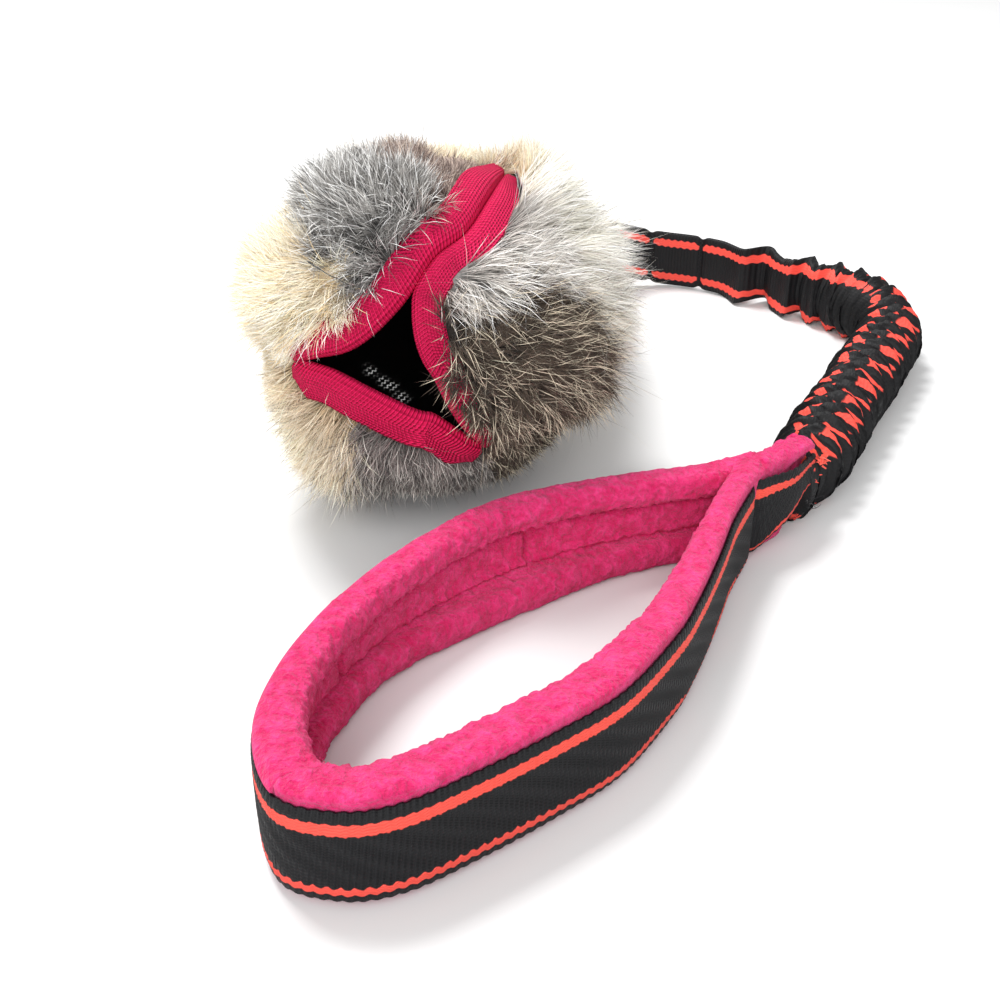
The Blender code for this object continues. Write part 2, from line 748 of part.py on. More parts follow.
RIGHT, UP, FRONT = pouch_frame()
HIDE_OUT = SKIN_RADIUS + HIDE_PROUD + HIDE_SWELL
POUCH_CENTRE = Vector((-POUCH_LEFT, POUCH_BEHIND, HIDE_OUT - FLAT_CUT))


def sphere_direction(across, above):
    ahead = math.sqrt(max(1 - across * across - above * above, 0.0))
    return (RIGHT * across + UP * above + FRONT * ahead).normalized()


def polar_direction(polar, azimuth):
    flat = RIGHT * math.cos(azimuth) + UP * math.sin(azimuth)
    return FRONT * math.cos(polar) + flat * math.sin(polar)


def azimuth_of(direction):
    return math.atan2(direction.dot(UP), direction.dot(RIGHT))


def edge_directions(shares, count):
    controls = [sphere_direction(across, above) for across, above in shares]
    return [point.normalized() for point in even_points(smooth_points(controls, 10), count)]


def petal_side(edge, k, into):
    """The direction along the sphere that leads from the mouth edge into its petal."""
    ahead = (edge[min(k + 1, len(edge) - 1)] - edge[max(k - 1, 0)]).normalized()
    side = edge[k].cross(ahead).normalized()
    return side if into > 0 else -side


def moved_on_sphere(direction, side, distance):
    angle = distance / SKIN_RADIUS
    return (direction * math.cos(angle) + side * math.sin(angle)).normalized()


def slerp(first, second, share):
    angle = math.acos(max(-1.0, min(1.0, first.dot(second))))
    if angle < SMALL_ANGLE:
        return first.copy()
    return (first * math.sin((1 - share) * angle) + second * math.sin(share * angle)) / math.sin(angle)


PETALS = {
    "top": {"shares": EDGE_TOP_SHARES, "into": -1, "colours": ("fur_grey", "fur_cream"),
            "names": ("hide_grey_top", "hide_cream_left")},
    "right": {"shares": EDGE_RIGHT_SHARES, "into": 1, "colours": ("fur_white", "fur_brown"),
              "names": ("hide_white_right", "hide_brown_right")},
    "lower": {"shares": EDGE_LOWER_SHARES, "into": -1, "colours": ("fur_tan", "fur_grey"),
              "names": ("hide_tan_lower", "hide_grey_lower")},
}


def front_edge(petal, count):
    """Where a petal's hide starts: a tape's width back from the mouth, and on the seams at its two ends."""
    edge = edge_directions(petal["shares"], 4 * count)
    back = TAPE_WIDTH + GAP
    last = math.radians(HINGE_POLAR) - back / SKIN_RADIUS / 2
    controls = []
    for k in (0, len(edge) - 1):
        polar = math.acos(max(-1.0, min(1.0, edge[k].dot(FRONT))))
        controls.append(polar_direction(min(polar + back / SKIN_RADIUS, last), azimuth_of(edge[k])))
    middle = [moved_on_sphere(edge[k], petal_side(edge, k, petal["into"]), back)
              for k in range(len(edge)) if EDGE_KEPT_SHARE < k / len(edge) < 1 - EDGE_KEPT_SHARE]
    line = [controls[0]] + middle[::3] + [controls[1]]
    return [point.normalized() for point in even_points(smooth_points(line, 4), count + 1)]


def petal_ends(petal, edge):
    """The azimuths of a petal's two seams, the second one reached through the petal."""
    ends = [azimuth_of(edge[0]), azimuth_of(edge[-1])]
    if petal["into"] > 0:
        while ends[1] > ends[0]:
            ends[1] -= math.tau
    else:
        while ends[1] < ends[0]:
            ends[1] += math.tau
    return ends


def petal_patch(name, petal, share_low, share_high, radius_in, radius_out, colour, rows):
    """A part of a petal's shell between two radii: from its front edge back to the hinge circle."""
    count = FRONT_STEPS
    fine = front_edge(petal, 4 * count)
    ends = petal_ends(petal, fine)
    margin = GAP / 2 / SKIN_RADIUS / abs(ends[1] - ends[0]) * SEAM_MARGIN_SHARE
    low, high = max(share_low, 0.0) + margin, min(share_high, 1.0) - margin
    columns = max(4, round(count * (share_high - share_low)))
    outer, inner = [], []
    for i in range(columns + 1):
        across = low + (high - low) * i / columns
        place = across * (len(fine) - 1)
        k = min(int(place), len(fine) - 2)
        start = fine[k].lerp(fine[k + 1], place - k).normalized()
        azimuth = ends[0] + (ends[1] - ends[0]) * across
        finish = polar_direction(math.radians(HINGE_POLAR) - GAP / 2 / SKIN_RADIUS, azimuth)
        out_row, in_row = [], []
        for j in range(rows + 1):
            way = slerp(start, finish, j / rows)
            local = i / columns
            out_row.append(POUCH_CENTRE + way * radius_out(local, j / rows))
            in_row.append(POUCH_CENTRE + way * radius_in(local, j / rows))
        outer.append(out_row)
        inner.append(in_row)
    rings = []
    for out_row, in_row in zip(outer, inner):
        rings.append(out_row + in_row[::-1])
    return loft(name, rings, colour)


def hide_outer(across, back):
    """The radius of a hide patch's outside: swollen between its seams, full where it meets the rear hide."""
    along = SWELL_EDGE_SHARE + (1 - 2 * SWELL_EDGE_SHARE) * back
    swell = math.sqrt(max(math.sin(math.pi * across) * math.sin(math.pi * along), 0.0))
    seam_end = ease((back - SWELL_SEAM_SHARE) / (1 - SWELL_SEAM_SHARE))
    return SKIN_RADIUS + HIDE_PROUD + HIDE_SWELL * (swell * (1 - seam_end) + seam_end)


def hide_inner(across, back):
    return SKIN_RADIUS + HIDE_SWELL - HIDE_THICK


def lining_outer(across, back):
    return hide_inner(across, back) - LINING_GAP


def lining_inner(across, back):
    return lining_outer(across, back) - LINING_THICK


def make_petals():
    for label, petal in PETALS.items():
        split = HIDE_SPLIT_SHARE
        for (low, high), name, colour in zip(((0.0, split), (split, 1.0)), petal["names"], petal["colours"]):
            hide = petal_patch(name, petal, low, high, hide_inner, hide_outer, colour, BACK_STEPS)
            floor_cut(hide)
        petal_patch("lining_" + label, petal, 0.0, 1.0, lining_inner, lining_outer, "mesh", BACK_STEPS)
        make_tape("tape_" + label, petal)


def make_tape(name, petal):
    """The folded tape along a petal's mouth edge, over the hide outside and the lining inside."""
    edge = edge_directions(petal["shares"], TAPE_STEPS)
    rings = []
    for k, direction in enumerate(edge):
        side = petal_side(edge, k, petal["into"])
        taper = TAPE_END_SHARE + (1 - TAPE_END_SHARE) * ease(min(k, len(edge) - 1 - k) / TAPE_TAPER_STEPS)
        lip = moved_on_sphere(direction, side, GAP / 2)
        quarter = moved_on_sphere(direction, side, TAPE_WIDTH * TAPE_ROLL_SHARE * taper)
        back = moved_on_sphere(direction, side, TAPE_WIDTH * taper)
        outside, inside = SKIN_RADIUS + TAPE_OUT, SKIN_RADIUS - TAPE_IN
        middle = (outside + inside) / 2
        corners = ((lip, middle + TAPE_OUT / 2), (quarter, outside), (back, outside), (back, inside),
                   (quarter, inside), (lip, middle - TAPE_OUT / 2))
        rings.append([POUCH_CENTRE + way * radius for way, radius in corners])
    return loft(name, rings, "pink_tape")


def rear_ring(share, radius_cut):
    """One ring of the pouch behind its petals, which narrows to the tail where the strap comes out."""
    polar = math.radians(HINGE_POLAR) + GAP / 2 / SKIN_RADIUS
    tail, tail_way, _ = UPPER.at(0.0)
    tail_way = Vector((tail_way.x, tail_way.y, 0))
    start = POUCH_CENTRE + FRONT * HIDE_OUT * math.cos(polar)
    after = start - Vector((FRONT.x, FRONT.y, FRONT.z * REAR_SINK_SHARE)) * REAR_PULL
    before = tail - tail_way * TAIL_PULL
    first, last = start.lerp(after, share), before.lerp(tail, share)
    between = after.lerp(before, share)
    centre = first.lerp(between, share).lerp(between.lerp(last, share), share)
    normal = (-FRONT).lerp(tail_way, ease(share)).normalized()
    side = RIGHT.lerp(Vector((tail_way.y, -tail_way.x, 0)), ease(share))
    side = (side - normal * side.dot(normal)).normalized()
    above = side.cross(normal)
    if above.z < 0:
        above = -above
    round_share = max(1 - share ** REAR_TAPER_POWER, 0.0)
    full = HIDE_OUT * math.sin(polar)
    wide = TAIL_HALF_WIDTH + (full - TAIL_HALF_WIDTH) * round_share - radius_cut
    high = TAIL_HALF_HEIGHT + (full - TAIL_HALF_HEIGHT) * round_share - radius_cut
    angles = [math.tau * i / REAR_SIDES for i in range(REAR_SIDES)]
    return [centre + side * wide * math.cos(angle) + above * high * math.sin(angle) for angle in angles]


def make_rear():
    """The rear hide as an open shell round the hollow, and inside it the lining, shut at the back."""
    shares = [k / TAIL_STEPS for k in range(TAIL_STEPS + 1)]
    wall = HIDE_PROUD + HIDE_THICK
    outer = [rear_ring(share, 0.0) for share in shares]
    inner = [rear_ring(share, wall + (TAIL_WALL - wall) * ease(share)) for share in shares]
    floor_cut(loft("hide_rear", outer + inner[::-1], "fur_white", closed=True))
    out_cut = wall + LINING_GAP
    lining_shares = [share * LINING_END_SHARE for share in shares]
    lining_out = [rear_ring(share, out_cut) for share in lining_shares]
    lining_in = [rear_ring(share * LINING_FLOOR_SHARE, out_cut + LINING_THICK) for share in lining_shares]
    loft("lining_rear", lining_in[::-1] + lining_out, "mesh")


def make_anchor():
    """The strap's end, folded and sewn into the tail of the pouch."""
    face = strip_face(STRAP_HALF_THICK)
    tail, way, left = UPPER.at(0.0)
    count = 4
    points = [tail - way * ANCHOR_INSIDE * (1 - k / count) for k in range(count + 1)]
    heading = math.degrees(math.atan2(way.y, way.x))
    route = Route(points, [heading] * (count + 1), ANCHOR_INSIDE)
    strap_solid("strap_anchor", route, 0.0, ANCHOR_INSIDE, face, face, web_half_height, 0, "black_web",
                [ANCHOR_INSIDE * k / count for k in range(count + 1)], (0.0, trim_slope(TAIL_SWING_RANGE)))


PETAL_BODIES = {
    "top": ("hide_grey_top", "hide_cream_left", "lining_top", "tape_top"),
    "right": ("hide_white_right", "hide_brown_right", "lining_right", "tape_right"),
    "lower": ("hide_tan_lower", "hide_grey_lower", "lining_lower", "tape_lower"),
}
STRAP_BODIES = {
    "strap": (TAIL_POINT, ("strap_web_near", "strap_web_far", "elastic_upper", "stitch_tail_bar",
                           "stitch_elastic_bar")),
    "bungee": (BEND_POINT, ("sleeve_web_near", "sleeve_web_far", "elastic_bend")),
    "puller": (HANDLE_POINT, ("elastic_lower",)),
    "handle": (HANDLE_POINT, ("handle_web_end_near", "handle_web_end_far", "handle_fleece_tab",
                              "strap_tongue", "stitch_handle_box", "handle_web_bend", "handle_fleece_bend")),
    "handle_near": (HANDLE_POINT, ("handle_web_near", "handle_fleece_near")),
    "handle_far": (HANDLE_POINT, ("handle_web_far", "handle_fleece_far")),
}


def petal_hinge(petal):
    """The point on the hinge circle behind the middle of a petal, and the axis that opens it."""
    edge = front_edge(petal, FRONT_STEPS)
    ends = petal_ends(petal, edge)
    azimuth = (ends[0] + ends[1]) / 2
    point = POUCH_CENTRE + polar_direction(math.radians(HINGE_POLAR), azimuth) * HIDE_OUT
    axis = FRONT.cross(polar_direction(math.pi / 2, azimuth)).normalized()
    return point, axis


def set_origin(name, point):
    shape = bpy.data.objects[name]
    shape.data.transform(Matrix.Translation(-point))
    shape.location = point


def centre_on_ground():
    """Moves everything so that the origin lies under the middle of the toy's box."""
    bpy.context.view_layer.update()
    graph = bpy.context.evaluated_depsgraph_get()
    corners = []
    for shape in COLLECTION.objects:
        if shape.type == "MESH":
            solid = shape.evaluated_get(graph)
            corners += [shape.matrix_world @ spot.co for spot in solid.data.vertices]
    low = Vector([min(corner[i] for corner in corners) for i in range(3)])
    high = Vector([max(corner[i] for corner in corners) for i in range(3)])
    shift = Vector((-(low.x + high.x) / 2, -(low.y + high.y) / 2, -low.z))
    for shape in list(COLLECTION.objects) + list(CUTTERS.objects):
        shape.location += shift
    return shift


def main():
    clear_scene()
    make_strap()
    make_elastic()
    bar_stitch("stitch_tail_bar", TAIL_STITCH_SHARE, "black_thread")
    bar_stitch("stitch_elastic_bar", ELASTIC_START_SHARE, "black_thread")
    make_loop()
    make_junction()
    make_petals()
    make_rear()
    make_anchor()
    for label, names in PETAL_BODIES.items():
        point, _ = petal_hinge(PETALS[label])
        for name in names:
            set_origin(name, point)
    for point, names in STRAP_BODIES.values():
        for name in names:
            set_origin(name, point)
    return centre_on_ground()


SHIFT = main()
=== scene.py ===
"""Looks of the bungee tug toy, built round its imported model.

Everything is in metres in the model's own frame: +Z up, +X to the right and +Y away from the viewer.
"""

import json
import math
from collections import namedtuple

import bpy
import numpy as np
from mathutils import Matrix, Vector, kdtree, noise


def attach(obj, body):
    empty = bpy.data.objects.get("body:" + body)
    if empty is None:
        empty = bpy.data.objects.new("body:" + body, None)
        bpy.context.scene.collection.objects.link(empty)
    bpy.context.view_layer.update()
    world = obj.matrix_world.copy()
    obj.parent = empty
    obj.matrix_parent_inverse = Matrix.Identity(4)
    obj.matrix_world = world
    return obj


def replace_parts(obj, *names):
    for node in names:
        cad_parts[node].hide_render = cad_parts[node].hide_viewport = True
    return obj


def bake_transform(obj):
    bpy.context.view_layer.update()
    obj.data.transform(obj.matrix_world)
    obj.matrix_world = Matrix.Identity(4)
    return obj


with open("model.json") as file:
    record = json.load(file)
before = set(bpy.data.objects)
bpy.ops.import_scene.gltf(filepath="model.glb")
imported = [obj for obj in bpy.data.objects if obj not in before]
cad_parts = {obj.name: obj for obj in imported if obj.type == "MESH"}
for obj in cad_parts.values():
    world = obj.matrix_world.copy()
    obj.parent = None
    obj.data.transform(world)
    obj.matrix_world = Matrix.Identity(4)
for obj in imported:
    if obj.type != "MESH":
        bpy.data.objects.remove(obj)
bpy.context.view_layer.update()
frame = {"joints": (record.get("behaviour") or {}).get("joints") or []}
JOINTS = {joint["name"]: joint for joint in frame["joints"]}
UP_Z = np.array((0.0, 0.0, 1.0))

# Webbing, and its two coral stripes
WEB_WIDTH = 0.025
WEB_THICK = 0.0014
WEB_BASE = 0.0025
STRIPE_INSET = 0.0029
STRIPE_WIDTH = 0.0032
RIB_PITCH = 0.0015
SCALLOP_PITCH = 0.0031
LINK_PITCH = 0.0023

# Strap: headings in degrees at shares of its length, as in the part's source
UPPER_LENGTH = 0.188
UPPER_HEADINGS = (
    (0.0, 74), (0.14, 66), (0.27, 30), (0.36, 2), (0.44, -22), (0.52, -36), (0.60, -41), (0.70, -40),
    (0.80, -43), (0.88, -53), (0.95, -68), (1.0, -82),
)
BEND_LENGTH = 0.036
BEND_HEADINGS = ((0.0, -82), (0.35, -98), (0.75, -112), (1.0, -117.5))
LOWER_LENGTH = 0.114
STRAP_LENGTH = UPPER_LENGTH + BEND_LENGTH + LOWER_LENGTH
ROUTE_STEPS = 1200
STRAP_LIFT = 0.0131
TAIL_RISE = 0.021
TAIL_RISE_SHARE = 0.42
STRAP_HALF_THICK = 0.0021
SLEEVE_HALF_THICK = 0.0108
WAVE_START = 0.098
SWELL_START = 0.116
SWELL_FULL = 0.184
STRAP_STEP = 0.0005
STRAP_SIDES = 72
GATHER_PITCH = 0.0102
MEANDER = 0.0029
FOLD_DEPTH = 0.0019
FOLD_LEAN = 0.0016
STITCH_RUNS = (0.067, 0.091)
STITCH_PINCH = 0.0017
CLOSING_RUN = 0.012
INNER_PULL_START = 0.166
INNER_PULL_RUN = 0.022
# Runs at which the waves bulge to the near side, and how many coral bars show for each wave on each side
BULGE_RUNS = (0.080, 0.1130, 0.1385, 0.1525, 0.1640, 0.1745, 0.1850)
OUTER_BARS = 1.65
INNER_BARS = 2.60
STRAP_ANCHOR = 0.014
STRAP_TONGUE = 0.016
# Runs where the strap's visual pieces meet, and how far before and after a joint they bend
STRAP_CUTS = (-STRAP_ANCHOR, 0.062, UPPER_LENGTH + BEND_LENGTH, STRAP_LENGTH - 0.014, STRAP_LENGTH + 0.007)
TAIL_BLEND = (0.004, 0.018)
BEND_BLEND = 0.022

# Hand loop: the outer line of its webbing in an own frame from the strap's end
LOOP_LENGTH = 0.194
LOOP_WIDTH = 0.0875
LOOP_HEADING = 220.8
LOOP_START = 0.0245
LOOP_TAB_NEAR = 0.0052
LOOP_TAB_FAR = 0.0068
LOOP_TONGUE_SIDE = -0.0038
LOOP_OUTLINE_SHARES = (
    (0.166, 0.189), (0.227, 0.266), (0.289, 0.341), (0.36, 0.421), (0.436, 0.494), (0.572, 0.577),
    (0.69, 0.580), (0.80, 0.562), (0.90, 0.527), (0.965, 0.44), (1.0, 0.275), (0.948, 0.024),
    (0.83, -0.187), (0.66, -0.346), (0.464, -0.422), (0.35, -0.387), (0.244, -0.304), (0.155, -0.210),
)
LOOP_NEAR_END = (
    (-0.0215, 0.0052), (-0.0120, 0.0052), (-0.0040, 0.0053), (0.0040, 0.0057), (0.0110, 0.0070),
    (0.0205, 0.0110),
)
LOOP_FAR_END = (
    (0.0180, -0.0124), (0.0090, -0.0096), (0.0020, -0.0078), (-0.0040, -0.0070), (-0.0120, -0.0068),
    (-0.0215, -0.0068),
)
LOOP_STEP = 0.0007

# Fleece lining
FLEECE_HEIGHT = 0.031
FLEECE_THICK = 0.0135
NEAR_ROLL = ((0.030, 0.0080), (0.054, 0.0093), (0.080, 0.0110), (0.110, 0.0128))
FAR_ROLL_SHARES = (0.0, 0.08, 0.22, 1.0)
FAR_ROLL = (0.0128, 0.0116, 0.0093, 0.0088)
FLEECE_LEAN = 0.0095
LEAN_MIDDLE = 0.083
LEAN_REACH = 0.062
FLEECE_MERGE_RUN = 0.011
FLEECE_FAR_START = 0.0
FLEECE_FREE_RUN = 0.060
FLEECE_MEET = -0.0008
FLEECE_SEAMS = {True: (0.45, 0.80), False: (0.30, 0.66)}
FUZZ_DENSITY = 260
HAIR_SHARE = 1
FUZZ_LENGTH = 0.0009
SEAM_WIDTH = 0.0013
SEAM_DEPTH = 0.0030
FUZZ_WIDTH = 0.00019
CREASE_RUN = 0.0100
LOOP_TAB_ROUND = 0.0075
TUCK = 0.0018
TAB_RISE_SHARE = 0.45

# Pouch
POUCH_LEFT = 0.1205
POUCH_BEHIND = 0.0155
POUCH_HEIGHT = 0.0597
POUCH_TURN = 3.4
POUCH_TILT = 22.3
SKIN_RADIUS = 0.0515
HINGE_POLAR = 97.0
LINING_DEPTH = 0.0035
SKIN_THICK = 0.0012
TAPE_WIDTH = 0.0092
TAPE_OUT = 0.0030
TAPE_IN = 0.0030
TAPE_STEPS = 260
TAPE_SIDES = 29
EDGE_TOP_SHARES = (
    (0.47, 0.87), (0.35, 0.70), (0.22, 0.51), (0.05, 0.38), (-0.07, 0.21), (-0.17, 0.09), (-0.31, -0.04),
    (-0.45, -0.12), (-0.61, -0.15), (-0.73, -0.17),
)
EDGE_RIGHT_SHARES = (
    (0.47, 0.87), (0.35, 0.70), (0.22, 0.51), (0.05, 0.38), (-0.07, 0.21), (-0.09, 0.08), (-0.08, -0.06),
    (-0.04, -0.19), (0.02, -0.29), (0.08, -0.42), (0.17, -0.57), (0.28, -0.68),
)
EDGE_LOWER_SHARES = (
    (-0.73, -0.17), (-0.54, -0.23), (-0.31, -0.35), (-0.07, -0.47), (0.05, -0.51), (0.28, -0.68),
)

# Camera
LENS = 46.8
SENSOR = 36.0
CAMERA_PLACE = (-0.0445, -0.3921, 0.219)
CAMERA_DOWN = 30.0


def joint_point(name):
    return np.array(JOINTS[name]["pos_m"], float)


# Numbers


def clamp(value):
    return np.clip(value, 0.0, 1.0)


def lifted(points, lowest):
    """The same points, none of them lower than this."""
    points = points.copy()
    points[..., 2] = np.maximum(points[..., 2], lowest)
    return points


def ease(value):
    value = clamp(value)
    return value * value * (3 - 2 * value)


def unit(vectors):
    return vectors / np.maximum(np.linalg.norm(vectors, axis=-1, keepdims=True), 1e-12)


def smooth_line(controls, steps):
    """Points on a Catmull-Rom curve through the controls."""
    controls = np.array(controls, float)
    made = []
    for k in range(len(controls) - 1):
        a = controls[max(k - 1, 0)]
        b, c = controls[k], controls[k + 1]
        d = controls[min(k + 2, len(controls) - 1)]
        t = (np.arange(steps) / steps)[:, None]
        made.append(0.5 * (2 * b + (c - a) * t + (2 * a - 5 * b + 4 * c - d) * t ** 2
                           + (3 * b - a - 3 * c + d) * t ** 3))
    made.append(controls[-1:])
    return np.vstack(made)


def read_rows(places, knots, rows):
    """Rows of numbers at places between the knots."""
    return np.stack([np.interp(places, knots, rows[:, i]) for i in range(rows.shape[1])], -1)


def even_line(points, count):
    """The same line with count points at equal steps, and the run at each."""
    steps = np.linalg.norm(np.diff(points, axis=0), axis=1)
    runs = np.concatenate(((0.0,), np.cumsum(steps)))
    wanted = np.linspace(0.0, runs[-1], count)
    return read_rows(wanted, runs, points), wanted


def peak(distance, width):
    """1 at no distance, falling to nothing over the width."""
    return np.exp(-(distance / width) ** 2)


def fractal(points, scale, seed=0.0, octaves=3):
    """Smooth noise from -1 to 1 at each point, with features of about scale metres."""
    shift = Vector((seed, seed * 0.37, -seed))
    return np.array([noise.fractal(Vector(p) / scale + shift, 1.0, 2.0, octaves) for p in points])


def swirls(points, scale, seed=0.0):
    """Three kinds of smooth noise at each point, as a direction."""
    return np.stack([fractal(points, scale, seed + k, 2) for k in (3.0, 5.0, 8.0)], 1)


# Meshes and materials


def add_object(name, data):
    made = bpy.data.objects.new(name, data)
    bpy.context.scene.collection.objects.link(made)
    return made


def mesh_object(name, points, faces, material, uv=None, colours=None, smooth=True, folds=None):
    """A mesh from arrays. faces is a list of integer arrays, each of faces with one number of corners."""
    mesh = bpy.data.meshes.new(name)
    points = np.asarray(points, np.float32).reshape(-1, 3)
    mesh.vertices.add(len(points))
    mesh.vertices.foreach_set("co", points.ravel())
    corners = np.concatenate([block.ravel() for block in faces]).astype(np.int32)
    totals = np.concatenate([np.full(len(block), block.shape[1]) for block in faces]).astype(np.int32)
    mesh.loops.add(len(corners))
    mesh.loops.foreach_set("vertex_index", corners)
    mesh.polygons.add(len(totals))
    starts = np.concatenate(((0,), np.cumsum(totals)[:-1])).astype(np.int32)
    mesh.polygons.foreach_set("loop_start", starts)
    mesh.polygons.foreach_set("use_smooth", np.full(len(totals), smooth))
    for label, layout in (("UVMap", uv), ("Folds", folds)):
        if layout is not None:
            layer = mesh.uv_layers.new(name=label)
            layer.data.foreach_set("uv", np.asarray(layout, np.float32).reshape(-1, 2)[corners].ravel())
    if colours is not None:
        layer = mesh.color_attributes.new("Tint", "FLOAT_COLOR", "POINT")
        four = np.ones((len(points), 4), np.float32)
        four[:, :3] = np.reshape(colours, (-1, 3))
        layer.data.foreach_set("color", four.ravel())
    mesh.update(calc_edges=True)
    mesh.validate()
    mesh.materials.append(material)
    return add_object(name, mesh)


def grid_faces(rows, columns, closed=False):
    """Quads of a grid of points laid row after row. closed joins the last column to the first."""
    r = np.arange(rows - 1)[:, None]
    c = np.arange(columns if closed else columns - 1)[None, :]
    following = (c + 1) % columns
    quads = np.stack((r * columns + c, r * columns + following, (r + 1) * columns + following,
                      (r + 1) * columns + c), -1)
    return quads.reshape(-1, 4)


def tube_faces(rows, sides):
    """Faces of a closed tube of rings, with its two ends."""
    ends = np.arange(sides)
    return [grid_faces(rows, sides, closed=True), ends[None, ::-1], (ends + (rows - 1) * sides)[None, :]]


def dress(made, slot_name, body=None, *nodes):
    """Attaches a piece to the body it rides on and hides the nodes of the model that it stands for;
    slot_name is not used.
    """
    if body:
        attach(made, body)
    if nodes:
        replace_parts(made, *nodes)
    return made


class Value:
    """A shader's output that adds and multiplies like a number."""

    def __init__(self, nodes, socket):
        self.nodes, self.socket = nodes, socket

    def __add__(self, other):
        return self.nodes.math("ADD", self, other)

    def __sub__(self, other):
        return self.nodes.math("SUBTRACT", self, other)

    def __mul__(self, other):
        return self.nodes.math("MULTIPLY", self, other)

    def __truediv__(self, other):
        return self.nodes.math("DIVIDE", self, other)


class Nodes:
    """A small helper for writing a material's nodes."""

    def __init__(self, name, roughness, **settings):
        self.material = bpy.data.materials.new(name)
        self.material.use_nodes = True
        self.tree = self.material.node_tree
        self.shader = self.tree.nodes["Principled BSDF"].inputs
        self.shader["Roughness"].default_value = roughness
        for key, value in settings.items():
            self.shader[key.replace("_", " ")].default_value = value

    def add(self, kind, sockets=(), **settings):
        """A node, with its settings and its sockets' sources or values."""
        node = self.tree.nodes.new("ShaderNode" + kind)
        for key, value in settings.items():
            setattr(node, key, value)
        for key, source in dict(sockets).items():
            self.feed(node.inputs[key], source)
        return node

    def feed(self, target, source):
        if isinstance(source, Value):
            self.tree.links.new(source.socket, target)
        else:
            target.default_value = (*source, 1.0) if isinstance(source, tuple) else source

    def out(self, node, output=0):
        return Value(self, node.outputs[output])

    def math(self, operation, *inputs):
        return self.out(self.add("Math", enumerate(inputs), operation=operation))

    def sine(self, turns):
        return self.math("SINE", turns * math.tau)

    def uv(self, layer="UVMap"):
        parts = self.add("SeparateXYZ", {0: self.out(self.add("UVMap", uv_map=layer))})
        return self.out(parts, 0), self.out(parts, 1)

    def noise(self, scale, detail=2.0, roughness=0.55):
        place = self.out(self.add("TexCoord"), "Object")
        sockets = {"Vector": place, "Scale": scale, "Detail": detail, "Roughness": roughness}
        return self.out(self.add("TexNoise", sockets), "Fac")

    def spread(self, source, low, high, **settings):
        """0 at low and 1 at high."""
        sockets = {"Value": source, "From Min": low, "From Max": high}
        return self.out(self.add("MapRange", sockets, **settings))

    def band(self, source, low, high, soft):
        """1 between low and high, falling to 0 over soft."""
        rise = self.spread(source, low - soft, low + soft, interpolation_type="SMOOTHSTEP")
        return rise * self.spread(source, high + soft, high - soft, interpolation_type="SMOOTHSTEP")

    def mix(self, factor, first, second, **settings):
        return self.out(self.add("Mix", {0: factor, 6: first, 7: second}, data_type="RGBA", **settings), 2)

    def tint(self):
        return self.out(self.add("VertexColor", layer_name="Tint"))

    def bump(self, height, distance, strength=1.0):
        sockets = {"Height": height, "Distance": distance, "Strength": strength}
        self.feed(self.shader["Normal"], self.out(self.add("Bump", sockets)))

    def colour(self, source):
        self.feed(self.shader["Base Color"], source)
        return self.material


# Black webbing: painted shade between its ribs, and lighter black on them
RIB_SHADED_BLACKS = ((0.0019, 0.0019, 0.0028), (0.0066, 0.0066, 0.0084))
SLEEVE_RIB_SHADED_BLACKS = ((0.0016, 0.0016, 0.0022), (0.0060, 0.0060, 0.0074))
CORAL = (1.0, 0.100, 0.072)
CORAL_DARK = (0.66, 0.042, 0.030)
FLEECE_HOLLOW_SHADE = (0.56, 0.005, 0.080)
FLEECE_MID = (0.80, 0.018, 0.165)
FLEECE_PALE_HIGHLIGHT = (0.90, 0.062, 0.260)
FUZZ_ROOT_SHADED = np.array((0.72, 0.016, 0.145))
FUZZ_TIP = np.array((0.92, 0.110, 0.315))
TAPE_MID = (1.00, 0.016, 0.135)
TAPE_DARK = (0.58, 0.005, 0.060)


def webbing_material(name, ribbed, gathered=False):
    """Black ribbed webbing with two coral stripes. U runs along it and V across it, both in webbing widths.

    Gathered webbing breaks its stripes: its second layer counts the bars they show as, and how far they are
    pulled, above 0 on the outer side and below 0 on the inner side.
    """
    n = Nodes(name, 0.58 if gathered else 0.62, Specular_IOR_Level=0.28)
    along, across = n.uv()
    ribs, scallop, links = (n.sine(along * (WEB_WIDTH / pitch))
                            for pitch in (RIB_PITCH, SCALLOP_PITCH, LINK_PITCH))
    half = n.math("PINGPONG", across, 0.5)
    grain = n.noise(900.0)
    size = STRIPE_WIDTH / WEB_WIDTH / 2
    centre = (STRIPE_INSET + STRIPE_WIDTH / 2) / WEB_WIDTH
    if gathered:
        bars, pull = n.uv("Folds")
        outer, inner = n.math("MAXIMUM", pull, 0.0), n.math("MAXIMUM", pull * -1.0, 0.0)
        slant = outer * (half - centre) * 2.0
        place = n.math("ABSOLUTE", n.math("FRACT", bars + slant) - 0.5)
        length = outer * -0.43 + inner * -0.28 + 0.62
        size = (outer * 0.62 + inner * (place * -1.4 + -0.05) + 1.0) * size
    edge = n.math("ABSOLUTE", half + scallop * 0.010 - centre) / size
    stripe = n.band(edge, -1.0, 1.0, 0.10)
    if gathered:
        stripe = stripe * n.band(place / length, -1.0, 1.0, 0.09)
    # The black is darker between the ribs as painted shade and lighter on their crests, with random tone
    # from the grain.
    black = n.mix(ribs * 0.25 + grain * 0.6 + 0.1, *(SLEEVE_RIB_SHADED_BLACKS if gathered else RIB_SHADED_BLACKS))
    edged = n.mix(n.band(edge, -1.0, 1.25, 0.10), black, (0.006, 0.005, 0.006))
    chain = n.math("SINE", half * 190.0 + links * 1.3)
    body, raised = n.sine(across * 34) * 0.18 + ribs * 0.8, chain * 0.45 + 1.2
    n.bump(n.out(n.add("Mix", {0: stripe, 2: body, 3: raised}, data_type="FLOAT")), 0.00022, ribbed)
    return n.colour(n.mix(stripe, edged, n.mix(chain * 0.09 + grain * 0.30, CORAL, CORAL_DARK)))


